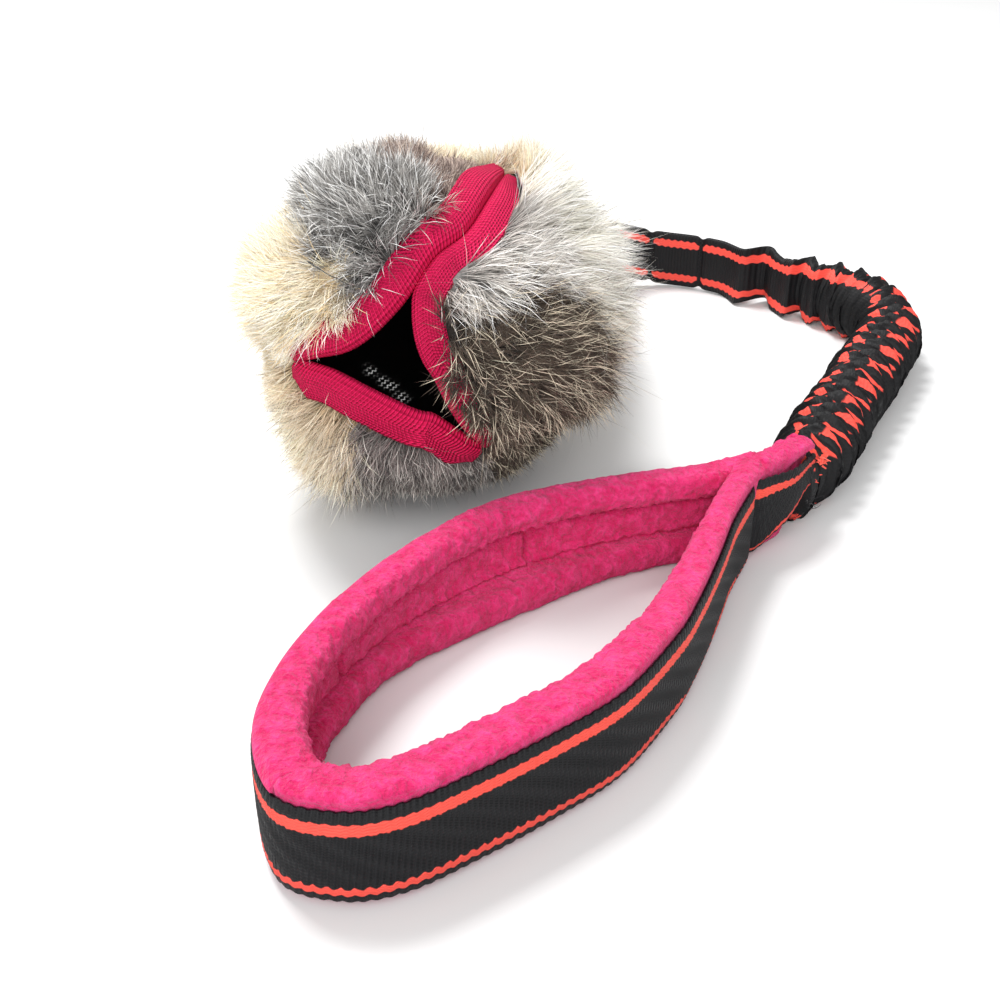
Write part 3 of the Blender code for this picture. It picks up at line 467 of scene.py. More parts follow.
def fleece_material(name):
    """Pink fleece: short pile in small clumps, with painted shade in the hollows and painted highlight where
    the pile stands up, over random patches of tone.
    """
    n = Nodes(name, 0.95, Sheen_Weight=0.35, Sheen_Roughness=0.6, Sheen_Tint=(1.0, 0.45, 0.65, 1.0),
              Specular_IOR_Level=0.1)
    pile, clump = n.noise(760.0, 4.0, 0.62), n.noise(250.0)
    fine, coarse = n.spread(pile, 0.36, 0.66), n.spread(clump, 0.38, 0.68)
    patch = n.spread(n.noise(60.0), 0.40, 0.70)
    # Painted shade where the pile's bump is low and painted highlight where it is high; the patch noise is
    # random tone.
    deep = n.mix(fine * 0.65 + coarse * 0.35, FLEECE_HOLLOW_SHADE, FLEECE_MID)
    n.bump(clump * 0.9 + pile, 0.0016)
    return n.colour(n.mix(patch * 0.12 + coarse * (fine * 0.6 + 0.15), deep, FLEECE_PALE_HIGHLIGHT))


def tape_material(name):
    """Herringbone twill tape. U runs along it and V across it, both in tape widths."""
    n = Nodes(name, 0.7, Specular_IOR_Level=0.18)
    along, across = n.uv()
    twill = n.sine(n.math("PINGPONG", across * 2.4, 1.0) * 1.9 + along * 8.0)
    knots = n.sine(across * 11)
    n.bump(knots * 0.6 + twill, 0.00045)
    return n.colour(n.mix(twill * 0.30 + knots * 0.16 + n.noise(800.0) + 0.05, TAPE_DARK, TAPE_MID))


def lining_material(name):
    """Black mesh: round holes in a staggered pattern, with painted light in a few of them: a pale colour and
    a glow.
    """
    n = Nodes(name, 0.6, Emission_Strength=0.40)
    along, across = n.uv()
    shift = n.math("PINGPONG", n.math("FLOOR", across), 1.0) * 0.5
    place = n.out(n.add("CombineXYZ", {0: along + shift, 1: across}))
    cell = n.add("TexVoronoi", {"Vector": place, "Scale": 1.0, "Randomness": 0.12}, feature="F1",
                 voronoi_dimensions="2D")
    hole = n.band(n.out(cell, "Distance"), -1.0, 0.30, 0.04)
    # Painted light: the chosen holes get a pale colour and a glow, though no lamp is there.
    painted_glow = hole * n.tint()
    n.feed(n.shader["Emission Color"], n.mix(painted_glow, (0.0, 0.0, 0.0), (1.0, 1.0, 0.98)))
    n.bump(hole, 0.0006, -1.0)
    return n.colour(n.mix(painted_glow, (0.010, 0.010, 0.012), (0.9, 0.9, 0.88)))


def fur_material(name):
    """Hair that takes its colour from the strands, with fine streaks."""
    n = Nodes(name, 0.62, Sheen_Weight=0.15, Specular_IOR_Level=0.25)
    level = n.noise(1200.0) * 0.9 + 0.45
    grey = n.out(n.add("CombineColor", {0: level, 1: level, 2: level}))
    return n.colour(n.mix(0.35, n.tint(), grey, blend_type="MULTIPLY"))


WEBBING = webbing_material("webbing", 0.9)
SLEEVE = webbing_material("sleeve", 0.45, gathered=True)
FLEECE = fleece_material("fleece")
TAPE = tape_material("tape")
LINING = lining_material("lining")
FUR = fur_material("fur")


# Strap


def table_value(table, shares):
    """A table's value at each share, eased from point to point."""
    value = np.full(len(shares), float(table[-1][1]))
    for (share_a, a), (share_b, b) in list(zip(table, table[1:]))[::-1]:
        here = shares <= share_b
        value[here] = a + (b - a) * ease((shares[here] - share_a) / (share_b - share_a))
    return value


class Strap:
    """The strap's centre line, read by the run from the pouch's tail."""

    def __init__(self):
        self.runs = np.linspace(-STRAP_ANCHOR, STRAP_LENGTH + STRAP_TONGUE, ROUTE_STEPS)
        middle = (self.runs[1:] + self.runs[:-1]) / 2
        upper = table_value(UPPER_HEADINGS, clamp(middle / UPPER_LENGTH))
        lower = table_value(BEND_HEADINGS, clamp((middle - UPPER_LENGTH) / BEND_LENGTH))
        angle = np.radians(np.where(middle < UPPER_LENGTH, upper, lower))
        steps = np.diff(self.runs)[:, None] * np.stack((np.cos(angle), np.sin(angle)), 1)
        plan = np.vstack(((0.0, 0.0), np.cumsum(steps, 0)))
        tail = joint_point("strap_swing")
        self.plan = plan - read_rows(0.0, self.runs, plan) + tail[:2]
        self.angle = np.concatenate((angle, angle[-1:]))

    def at(self, runs):
        place = read_rows(runs, self.runs, self.plan)
        angle = np.interp(runs, self.runs, self.angle)
        along = np.stack((np.cos(angle), np.sin(angle), np.zeros_like(angle)), -1)
        left = np.stack((-along[..., 1], along[..., 0], along[..., 2]), -1)
        lift = STRAP_LIFT + TAIL_RISE * (1 - ease(runs / UPPER_LENGTH / TAIL_RISE_SHARE))
        return np.concatenate((place, lift[..., None]), -1), along, left


STRAP = Strap()


def fold_wave(phase):
    """Round folds with narrow creases between them, from -1 to 1."""
    return 2 * np.abs(np.sin(phase / 2)) ** 0.7 - 1


def strap_swell(runs):
    return ease((runs - SWELL_START) / (SWELL_FULL - SWELL_START))


class Folds:
    """How far the folds have got at each run of the strap: long waves first, then uneven gathers."""

    def __init__(self):
        rng = np.random.default_rng(12)
        self.runs = np.linspace(-STRAP_ANCHOR, STRAP_LENGTH + STRAP_TONGUE, 3000)
        bulges = list(BULGE_RUNS)
        while bulges[-1] < self.runs[-1]:
            bulges.append(bulges[-1] + GATHER_PITCH * (0.80 + 0.42 * rng.random()))
        turns = np.arange(len(bulges)) * math.tau - math.pi / 2
        self.phase = np.interp(self.runs, bulges, turns)
        self.strength = 1 + 0.55 * fractal(np.stack((self.runs,) * 3, 1), 0.013, 9.0, 2)

    def at(self, runs):
        return np.interp(runs, self.runs, self.phase), np.interp(runs, self.runs, self.strength)


FOLDS = Folds()


def strap_section(runs, turns):
    """Points of the strap at runs and turns (0 at the top edge, to the left first), and its textures."""
    swell = strap_swell(runs)
    wave = ease((runs - WAVE_START) / 0.014)
    side, level = np.sin(turns), np.cos(turns)
    place, along, left = STRAP.at(runs)
    phase, strength = FOLDS.at(runs)
    closing = ease((runs - STRAP_LENGTH + CLOSING_RUN) / CLOSING_RUN)
    pinch = sum(peak(runs - stitch, STITCH_PINCH) for stitch in STITCH_RUNS)
    half = STRAP_HALF_THICK * (1 - 0.55 * pinch) + (SLEEVE_HALF_THICK - STRAP_HALF_THICK) * swell
    half = half * (1 - 0.42 * closing)
    flatness = 0.55 + 0.45 * swell
    lateral = np.sign(side) * np.abs(side) ** flatness * half
    edge = np.abs(level) ** 2.2
    top = level > 0
    sharp = phase + 0.70 * np.sin(phase)
    gain = np.where(top, 1.70 - 1.15 * swell, 2.40 - 1.50 * swell)
    meander = np.where(top, np.sin(sharp), np.sin(sharp + 0.25 + 0.6 * swell)) * edge * gain
    meander = meander + np.sin(sharp + 0.15) * (1 - edge) * (1 - swell) * 1.3
    amount = MEANDER * wave * (1 + (strength - 1) * swell) * (1 - 0.7 * closing)
    own = phase + np.where(side > 0, 0.3, math.pi + 0.3) + 0.8 * level * swell
    lobes = fold_wave(own) * np.abs(side) ** 0.8
    small = fold_wave(2.3 * own + 1.3) * 0.26
    out = FOLD_DEPTH * wave * (0.25 + 0.75 * swell) * strength * (lobes + small * np.abs(side))
    crinkle = 0.0012 * fold_wave(phase * 2.0 + 2.2 * side) + 0.0007 * np.sin(5.1 * phase + 5 * side)
    ridge = 1.2 * np.abs(level) ** 7 * swell
    crinkle = (crinkle + 0.0004 * np.sin(9.3 * phase - 7 * side)) * ridge
    crinkle = crinkle + 0.0004 * fold_wave(phase * 2.0) * swell
    lateral = lateral + meander * amount + np.sign(side) * out * (1 - 0.5 * edge) * (1 - 0.6 * closing)
    high = WEB_WIDTH / 2 * (1 - 0.09 * pinch) * (1 + 0.03 * swell)
    raised = level * (high + 0.6 * np.abs(out) * swell) + crinkle + 0.0012 * wave * np.cos(phase) * edge
    slide = FOLD_LEAN * swell * np.sin(own) * np.abs(side) ** 0.7 * strength * (1 - 0.85 * clamp(level))
    rough = 0.00030 * wave * np.sin(11.0 * phase + 9.0 * turns) * swell
    points = place + left * (lateral + rough)[..., None] + UP_Z * raised[..., None]
    points = lifted(points + along * slide[..., None], 0.0)
    straight = 0.5 - level / 2
    around = np.arccos(np.clip(level, -1, 1)) / math.pi - 0.5
    around = 0.5 + 0.5 * np.sign(around) * (1 - (1 - 2 * np.abs(around)) ** 0.84)
    across = clamp(straight + (around - straight) * swell)
    across = across - np.where(side > 0, 0.085, 0.0) * swell * np.sin(math.pi * across)
    gap = np.min([np.abs(runs - stitch) for stitch in STITCH_RUNS], axis=0)
    bars = np.where(side > 0, OUTER_BARS, INNER_BARS) * phase / math.tau + 0.25
    bars = np.where(runs < WAVE_START, np.minimum(gap / 0.008, 0.5), bars)
    drawn = np.where(side > 0, swell, ease((runs - INNER_PULL_START) / INNER_PULL_RUN))
    pull = np.maximum(drawn, 1 - ease(gap / 0.004)) * np.where(side > 0, 1.0, -1.0)
    uv = np.stack((np.broadcast_to(runs, across.shape) / WEB_WIDTH, across), -1)
    return points, uv, np.stack((bars, pull), -1)


def strap_piece(name, start, end):
    """The two webbings from one run to another as a tube: flat near the pouch, gathered over the elastic."""
    count = int((end - start) / STRAP_STEP) + 1
    runs = np.broadcast_to(np.linspace(start, end, count)[:, None], (count, STRAP_SIDES))
    turns = np.broadcast_to(np.linspace(0.0, math.tau, STRAP_SIDES, endpoint=False)[None, :], runs.shape)
    points, uv, folds = strap_section(runs, turns)
    made = mesh_object(name, points, tube_faces(count, STRAP_SIDES), SLEEVE, uv, folds=folds)
    return dress(made, "black_web")


def ribbon(name, lines, widths, normals, colours, body, *nodes):
    """Thin threads along rows of points, each a ribbon that tapers at its end."""
    lines = np.asarray(lines, float)
    count, steps = lines.shape[:2]
    side = unit(np.cross(np.gradient(lines, axis=1), normals))
    profile = np.linspace(1.0, 0.35, steps)[None, :, None]
    wide = side * profile * (np.asarray(widths)[:, None, None] / 2)
    points = np.stack((lines - wide, lines + wide), 2)
    base = (np.arange(count) * steps * 2)[:, None]
    faces = np.concatenate([base + np.array((k, k + 1, k + 3, k + 2)) for k in range(0, 2 * steps - 2, 2)])
    tint = np.repeat(np.asarray(colours, float), steps * 2, axis=0)
    made = mesh_object(name, points, [faces], FUR, colours=tint, smooth=False)
    dress(made, "black_thread", body, *nodes)


def stitch_row(name, run, node):
    """A bar of zigzag stitches down both faces of the strap."""
    steps = 26
    levels = np.linspace(0.93, -0.93, steps)
    lines, normals = [], []
    for hand in (1, -1):
        turns = np.arccos(levels) * hand
        weave = 0.0008 * (np.arange(steps) % 2 * 2 - 1)
        points, _, _ = strap_section(run + weave, turns)
        _, _, left = STRAP.at(np.full(steps, run))
        lines.append(points + left * hand * 0.0003)
        normals.append(left * hand)
    ribbon(name, lines, (0.0007, 0.0007), np.array(normals), ((0.012, 0.012, 0.014),) * 2, "strap", node)


def make_strap():
    tail, bend, handle = (joint_point(name) for name in ("strap_swing", "bungee_bend", "handle_swing"))
    (_, tail_way, _), (_, bend_way, _) = STRAP.at(np.array(0.0)), STRAP.at(np.array(UPPER_LENGTH))
    (first, way, _), (last, _, _) = (STRAP.at(np.array(cut)) for cut in STRAP_CUTS[2:4])
    before, after = TAIL_BLEND
    around = bend_way * BEND_BLEND
    for k, (name, bodies, start, end, nodes) in enumerate((
            ("strap_flat", ("pouch", "strap"), tail - tail_way * before, tail + tail_way * after,
             ("strap_web_near", "strap_web_far", "strap_anchor", "elastic_upper")),
            ("strap_gathered", ("strap", "bungee"), bend - around, bend + around, ("elastic_bend",)),
            ("bungee_sleeve", ("bungee", "puller"), first, last,
             ("sleeve_web_near", "sleeve_web_far", "elastic_lower")),
            ("strap_end", ("puller", "handle"), last, handle + way * before, ()))):
        made = strap_piece(name, STRAP_CUTS[k], STRAP_CUTS[k + 1])
        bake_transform(made)
        if nodes:
            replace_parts(made, *nodes)
    stitch_row("stitch_near_pouch", STITCH_RUNS[0], "stitch_tail_bar")
    stitch_row("stitch_at_elastic", STITCH_RUNS[1], "stitch_elastic_bar")


# Hand loop


LOOP_AXIS = np.array((math.cos(math.radians(LOOP_HEADING)), math.sin(math.radians(LOOP_HEADING)), 0.0))
LOOP_SIDE = np.array((-LOOP_AXIS[1], LOOP_AXIS[0], 0.0))
LOOP_ORIGIN = joint_point("handle_swing") * (1, 1, 0) + LOOP_START * LOOP_AXIS - LOOP_TONGUE_SIDE * LOOP_SIDE


def loop_place(flat):
    """Points of the loop's frame (along, across, height) in the model's frame."""
    return LOOP_ORIGIN + flat[..., :1] * LOOP_AXIS + flat[..., 1:2] * LOOP_SIDE + flat[..., 2:3] * UP_Z


def loop_line():
    middle = [(along * LOOP_LENGTH, across * LOOP_WIDTH) for along, across in LOOP_OUTLINE_SHARES]
    line = smooth_line(list(LOOP_NEAR_END) + middle + list(LOOP_FAR_END), 14)
    length = np.linalg.norm(np.diff(line, axis=0), axis=1).sum()
    return even_line(line, int(length / LOOP_STEP))


def loop_half(near_half):
    """The outer line of one half of the loop, from the tab to the split in the bend, with its inward way."""
    line, runs = loop_line()
    split = int(np.argmax(line[:, 0]))
    ahead = unit(np.gradient(line, axis=0))
    inward = np.stack((ahead[:, 1], -ahead[:, 0]), 1)
    keep = slice(0, split + 1) if near_half else slice(split, None)
    return line[keep], runs[keep], inward[keep]


# The near and the far wall's blend with the handle: which way it runs, along and across, and where it starts
# and ends
WALL_BLENDS = {True: ((-0.098, 1.0), 0.005, 0.036), False: ((0.159, -1.0), 0.0068, 0.048)}


def loop_blend(piece, near_half):
    """Bakes a piece of one half of the loop into the model's frame; its wall's blend numbers are read but
    not applied.
    """
    (along, across), low, high = WALL_BLENDS[near_half]
    way = along * LOOP_AXIS + across * LOOP_SIDE
    size = way @ way
    LOOP_ORIGIN + way * low / size
    LOOP_ORIGIN + way * high / size
    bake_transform(piece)


WEB_ROWS = 15
WEB_SCALLOP = 0.00052
WEB_RELIEF = 0.00024
WEB_SLANT = 0.0030
# Where the loop's lower stripe lies on its curled edge, as shares of the webbing's height
LOW_STRIPE = (0.090, 0.150)
LOW_CURL_RUN = 0.150
STRIPE_RISE = 0.085


def fold_share(along):
    """How far the near wall's end has been pulled into its fold, from its crease to its raw end."""
    return ease((CREASE_RUN - along) / (CREASE_RUN + LOOP_START))


def stripe_place(height, low, high):
    """Where a height reads the weave if the lower stripe lies from low to high, in shares of the width."""
    start, end = STRIPE_INSET / WEB_WIDTH, (STRIPE_INSET + STRIPE_WIDTH) / WEB_WIDTH
    inside = start + (height - low) / (high - low) * (end - start)
    beyond = end + (height - high) / (0.5 - high) * (0.5 - end)
    place = np.where(height < low, height / low * start, np.where(height < high, inside, beyond))
    return np.where(height > 0.5, height, place)


def loop_webbing(name, near_half):
    """Webbing standing on its edge, with a woven selvedge. The near wall's end is folded up at the strap."""
    line, runs, inward = loop_half(near_half)
    along = line[:, :1]
    levels = np.linspace(0, 1, WEB_ROWS)
    levels = np.concatenate((levels, levels[::-1]))
    depth = np.repeat((0.0, WEB_THICK), WEB_ROWS)
    depth[[0, WEB_ROWS - 1]] += 0.0004
    depth[[WEB_ROWS, -1]] -= 0.0004
    height = np.broadcast_to(levels[None, :], (len(line), len(levels)))
    rows = np.broadcast_to(runs[:, None], height.shape)
    scallop = WEB_SCALLOP * np.abs(np.sin(math.pi * rows / SCALLOP_PITCH))
    pulled = fold_share(along) * near_half
    low = WEB_BASE + 0.0130 * pulled ** 0.7
    high = WEB_BASE + WEB_WIDTH - 0.0016 * pulled
    crease = peak(along - CREASE_RUN, 0.0022) * near_half
    bow = -0.0016 * crease + 0.0022 * pulled * (1 - pulled) * 4 - TUCK * ease(1.6 * pulled - 0.6)
    level = low + (high - low) * height + scallop * (2 * height - 1)
    slant = rows + (height - 0.5) * WEB_SLANT - (1 - height) * 0.026 * pulled
    relief = WEB_RELIEF * np.sin(math.tau * slant / RIB_PITCH) * np.sin(math.pi * height)
    facing = np.where(depth > WEB_THICK / 2, -1, 1)[None, :]
    flat = line[:, None, :] + inward[:, None, :] * (depth[None, :] + facing * relief - bow)[..., None]
    points = loop_place(np.concatenate((flat, level[..., None]), -1))
    curl = ease((LOW_CURL_RUN - along) / 0.07) * (0.62 + 0.38 * np.sin(along / 0.0085)) * near_half
    across = stripe_place(height, LOW_STRIPE[0] - 0.070 * curl, LOW_STRIPE[1] - 0.116 * curl)
    across = across + STRIPE_RISE * pulled * height
    uv = np.stack((slant / WEB_WIDTH, across), -1)
    return dress(mesh_object(name, points, tube_faces(*height.shape), WEBBING, uv), "black_web")


FLEECE_SECTION = (
    (0.02, 0.50), (0.02, 0.86), (-0.08, 0.93), (0.12, 1.0), (0.52, 1.01), (0.86, 0.975), (1.0, 0.88),
    (0.98, 0.79), (0.82, 0.74), (0.46, 0.724), (0.38, 0.700), (0.57, 0.655), (0.58, 0.50), (0.57, 0.385),
    (0.38, 0.340), (0.46, 0.316), (0.82, 0.305), (0.98, 0.24), (1.0, 0.13), (0.86, 0.03), (0.58, -0.005),
    (0.26, 0.0), (0.06, 0.045), (0.02, 0.16),
)
TAB_SECTION = (
    (0.02, 0.50), (0.0, 0.80), (-0.03, 0.90), (0.05, 0.975), (0.27, 1.02), (0.50, 1.03), (0.74, 1.02),
    (0.96, 0.975), (1.04, 0.90), (1.0, 0.78), (1.0, 0.70), (1.0, 0.66), (1.0, 0.59), (1.0, 0.50),
    (1.0, 0.41), (1.0, 0.345), (1.0, 0.315), (1.0, 0.26), (1.0, 0.20), (0.98, 0.10), (0.86, 0.03),
    (0.50, 0.0), (0.14, 0.03), (0.02, 0.16),
)
FLEECE_SIDES = 96
SECTION_STEPS = 10


def section_line(section):
    line = smooth_line(section + section[:1], SECTION_STEPS)
    return read_rows(np.linspace(0, len(line) - 1, FLEECE_SIDES + 1)[:-1], np.arange(len(line)), line)


def lining_thickness(line, near_half, tabbed):
    """How thick the lining is along the loop's line: full in the tab, thin where the walls leave no room."""
    middle = FLEECE_MEET + tabbed * (-LOOP_TAB_FAR + WEB_THICK + 0.0009 - FLEECE_MEET)
    if near_half:
        full = np.interp(line[:, 0], *np.array(NEAR_ROLL).T)
        full = full + (FLEECE_THICK - full) * tabbed
    else:
        full = np.interp(np.linspace(0, 1, len(line)), FAR_ROLL_SHARES, FAR_ROLL)
    gap = (line[:, 1] - middle) * (1 if near_half else -1) - WEB_THICK
    return np.clip(np.where(line[:, 0] > FLEECE_FREE_RUN, full, gap), 0.001, full)[:, None]


def fleece_surface(near_half):
    """Grid of points of one half of the lining in the loop's frame, its outward ways, and where pile is."""
    line, runs, inward = loop_half(near_half)
    if not near_half:
        kept = line[:, 0] > FLEECE_FAR_START
        line, runs, inward = line[kept], runs[kept], inward[kept]
    along = line[:, :1]
    tabbed = (1 - ease((line[:, 0] - FLEECE_MERGE_RUN + 0.004) / 0.012)) * near_half
    thick = lining_thickness(line, near_half, tabbed)
    wall, tab = section_line(FLEECE_SECTION), section_line(TAB_SECTION)
    profile = wall[None] * (1 - tabbed[:, None, None]) + tab[None] * tabbed[:, None, None]
    deep, level = profile[..., 0], profile[..., 1]
    if not near_half:
        # The far wall leans: its foot stands further in than its rim.
        lean = ease(1 - np.abs(along - LEAN_MIDDLE) / LEAN_REACH) * FLEECE_LEAN / thick
        foot = 0.30 * clamp(1 - level) + 0.70 * ease((0.42 - level) / 0.13)
        deep = deep + lean * foot * clamp((deep - 0.1) / 0.4)
    rows = np.broadcast_to(runs[:, None], deep.shape)
    seams = runs[0] + (runs[-1] - runs[0]) * np.array(FLEECE_SEAMS[near_half])
    inner = deep > 0.3
    band = ease((0.20 - np.abs(level - 0.5)) / 0.06) * inner
    groove = sum(peak(rows - seam, SEAM_WIDTH) for seam in seams) * band
    panel = ease((0.52 - deep) / 0.10) * inner * (np.abs(level - 0.52) < 0.24)
    depth = WEB_THICK + deep * thick - groove * SEAM_DEPTH
    if near_half:
        # At the strap the lining's underside rises, and the webbing's end is tucked in front of it.
        pulled = fold_share(along)
        tuck = TUCK * ease(1.6 * pulled - 0.6) + 0.0010 * pulled
        depth = np.maximum(depth, WEB_THICK + tuck * ease((0.86 - level) / 0.06))
        level = level + (1 - level) * TAB_RISE_SHARE * ease(-(along + 0.006) / 0.012)
    height = level * FLEECE_HEIGHT
    swell = np.sin(rows / 0.0043) * np.sin(rows / 0.0117) * 0.0003
    height = height + swell * clamp(np.abs(level - 0.5) * 2 - 0.4) * np.sign(level - 0.5)
    flat = line[:, None, :] + inward[:, None, :] * depth[..., None]
    points = np.concatenate((flat, height[..., None]), -1)
    across = np.roll(points, -1, 1) - np.roll(points, 1, 1)
    normals = unit(np.cross(across, np.gradient(points, axis=0)))
    heart = line + inward * (WEB_THICK + thick * 0.45)
    heart = np.column_stack((heart, np.full(len(line), FLEECE_HEIGHT / 2)))[:, None, :]
    if (normals * (points - heart)).sum() < 0:
        normals = -normals
    flat = points.reshape(-1, 3)
    pile = fractal(flat, 0.0042, 2.0, 2) * 0.0006 + fractal(flat, 0.0016, 5.0, 2) * 0.0007
    free = clamp((depth - WEB_THICK) / 0.002) * clamp((height + 0.0005) / 0.003)
    points = points + normals * (pile.reshape(deep.shape) * free)[..., None]
    if near_half:
        # The end of the tab is rounded.
        beyond = clamp((LOOP_TAB_ROUND - (line[:, 0] + LOOP_START)) / LOOP_TAB_ROUND)[:, None, None]
        heart = points.mean(1, keepdims=True)
        points = heart + (points - heart) * np.sqrt(clamp(1 - (beyond * 0.96) ** 2))
    return lifted(points, 0.0), normals, 1 - np.maximum(panel, groove)


def fuzz(name, points, normals, grown, near_half):
    """Short pile that stands off the lining."""
    rng = np.random.default_rng(70 + near_half)
    world, away = loop_place(points), unit(normals @ np.stack((LOOP_AXIS, LOOP_SIDE, UP_Z)))
    count = int(cell_areas(world).sum() * 1e4 * FUZZ_DENSITY * HAIR_SHARE)
    roots, outward = surface_samples(world, away, count, rng, grown[:-1, :-1])
    swirl = swirls(roots, 0.0022, 90.0)
    head = unit(outward * 1.2 + rng.normal(0, 0.40, (count, 3)) + swirl * 0.7)
    head, tuft = tufts(roots, head, rng, 6, 0.5)
    lengths = FUZZ_LENGTH * (0.6 + 0.8 * rng.random(count) ** 2)
    widths = FUZZ_WIDTH * (0.7 + 0.6 * rng.random(count))
    tone = (0.74 + 0.46 * tuft)[:, None]
    # The roots are darker than the tips as painted shade deep in the pile; tone also differs at random by
    # tuft.
    tints = FUZZ_ROOT_SHADED * tone, FUZZ_TIP * tone
    return strands(name, roots, outward, head, lengths, widths, *tints, (0.0, 0.9), 0.5, rng)


def loop_fleece(name, near_half):
    points, normals, grown = fleece_surface(near_half)
    made = mesh_object(name, loop_place(points), tube_faces(len(points), FLEECE_SIDES), FLEECE)
    pile = fuzz(name + "_pile", points, normals, grown, near_half)
    for piece in (made, pile):
        loop_blend(dress(piece, "pink_fleece"), near_half)
    return made


# Yarn ends: place along and across the loop and height, how many, colour, length and width
FRAYS = (
    (-0.0238, LOOP_TAB_NEAR - 0.0008, 0.0238, 30, (1.0, 0.13, 0.09), 0.0013, 0.00070),
    (-0.0222, LOOP_TAB_NEAR - 0.0002, 0.0170, 3, (0.95, 0.10, 0.07), 0.0012, 0.00040),
    (-0.0170, LOOP_TAB_NEAR + 0.0014, 0.0115, 9, (0.008, 0.008, 0.010), 0.0026, 0.00030),
)


def make_frays():
    """Loose ends of coral and black yarn where the near wall's webbing is cut at the strap."""
    rng = np.random.default_rng(5)
    lines, colours, widths = [], [], []
    for along, side, level, count, colour, size, width in FRAYS:
        for _ in range(count):
            start = np.array((along, side, level)) + rng.normal(0, 1, 3) * (0.0005, 0.0003, 0.0011)
            way = np.array((-0.7, 0.5, 0.0)) + rng.normal(0, 0.7, 3)
            curl = rng.normal(0, 1.6, 3)
            back = rng.normal(0, 1.3, 3) - way
            length = size * (0.5 + 0.6 * rng.random())
            steps = np.linspace(0, 1, 7)[:, None]
            bent = way * steps + curl * steps ** 2 * (1 - steps) * 2 + back * steps ** 3 * 0.5
            lines.append(start + bent * length)
            colours.append(np.array(colour) * (0.75 + 0.3 * rng.random()))
            widths.append(width)
    lines = loop_place(np.array(lines))
    ribbon("frayed_yarn", lines, np.array(widths), np.array((0.3, -0.8, 0.5)), colours, "handle")


def make_loop():
    for label, near_half, web_nodes, fleece_nodes in (
            ("near", True, ("handle_web_near", "handle_web_end_near", "strap_tongue", "stitch_handle_box"),
             ("handle_fleece_near", "handle_fleece_tab")),
            ("far", False, ("handle_web_far", "handle_web_end_far", "handle_web_bend"),
             ("handle_fleece_far", "handle_fleece_bend"))):
        web = loop_webbing("loop_webbing_" + label, near_half)
        loop_blend(web, near_half)
        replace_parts(web, *web_nodes)
        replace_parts(loop_fleece("loop_fleece_" + label, near_half), *fleece_nodes)
    make_frays()


# Pouch


def pouch_axes():
    turn, tilt = math.radians(POUCH_TURN), math.radians(POUCH_TILT)
    spin = Matrix.Rotation(turn, 3, "Z")
    front = spin @ Vector((0, -math.cos(tilt), math.sin(tilt)))
    right = spin @ Vector((1, 0, 0))
    return np.array(right), np.array(front.cross(right)), np.array(front)


RIGHT, ABOVE, FRONT = pouch_axes()
POUCH_CENTRE = joint_point("handle_swing") * (1, 1, 0) + (-POUCH_LEFT, POUCH_BEHIND, POUCH_HEIGHT)
HINGE = math.radians(HINGE_POLAR)
PETALS = {
    "top": (EDGE_TOP_SHARES, -1),
    "right": (EDGE_RIGHT_SHARES, 1),
    "lower": (EDGE_LOWER_SHARES, -1),
}


def from_front(across, above):
    ahead = np.sqrt(np.maximum(1 - across ** 2 - above ** 2, 0.0))
    return unit(across[..., None] * RIGHT + above[..., None] * ABOVE + ahead[..., None] * FRONT)


def by_angle(polar, azimuth):
    around = np.cos(azimuth)[..., None] * RIGHT + np.sin(azimuth)[..., None] * ABOVE
    return np.cos(polar)[..., None] * FRONT + np.sin(polar)[..., None] * around


def azimuth_of(way):
    return np.arctan2(way @ ABOVE, way @ RIGHT)


def mouth_edge(label, count):
    """Directions along a petal's mouth edge, and the way from each into the petal."""
    shares, into = PETALS[label]
    shares = np.array(shares)
    line, runs = even_line(smooth_line(from_front(shares[:, 0], shares[:, 1]), 10), count)
    line = unit(line)
    ahead = unit(np.gradient(line, axis=0))
    side = unit(np.cross(line, ahead)) * into
    return line, side, runs * SKIN_RADIUS


def step_aside(ways, side, distance):
    angle = (distance / SKIN_RADIUS)[..., None]
    return unit(ways * np.cos(angle) + side * np.sin(angle))


def slerp(first, second, share):
    angle = np.arccos(np.clip((first * second).sum(-1), -1, 1))[..., None]
    share = share[..., None]
    small = np.maximum(np.sin(angle), 1e-6)
    return (np.sin((1 - share) * angle) * first + np.sin(share * angle) * second) / small


def tape_share(label, shares):
    """The tape's width at shares of the way along a mouth edge: it narrows into the corners."""
    first, least = (0.24, 0.40) if label != "lower" else (0.10, 0.50)
    start = least + (1 - least) * ease(shares / first)
    return start * (0.5 + 0.5 * ease((1 - shares) / 0.10))


# The steps of a mouth edge that a petal follows, of its 400: it turns away before its corners
PETAL_EDGE_KEPT = slice(14, 374, 12)


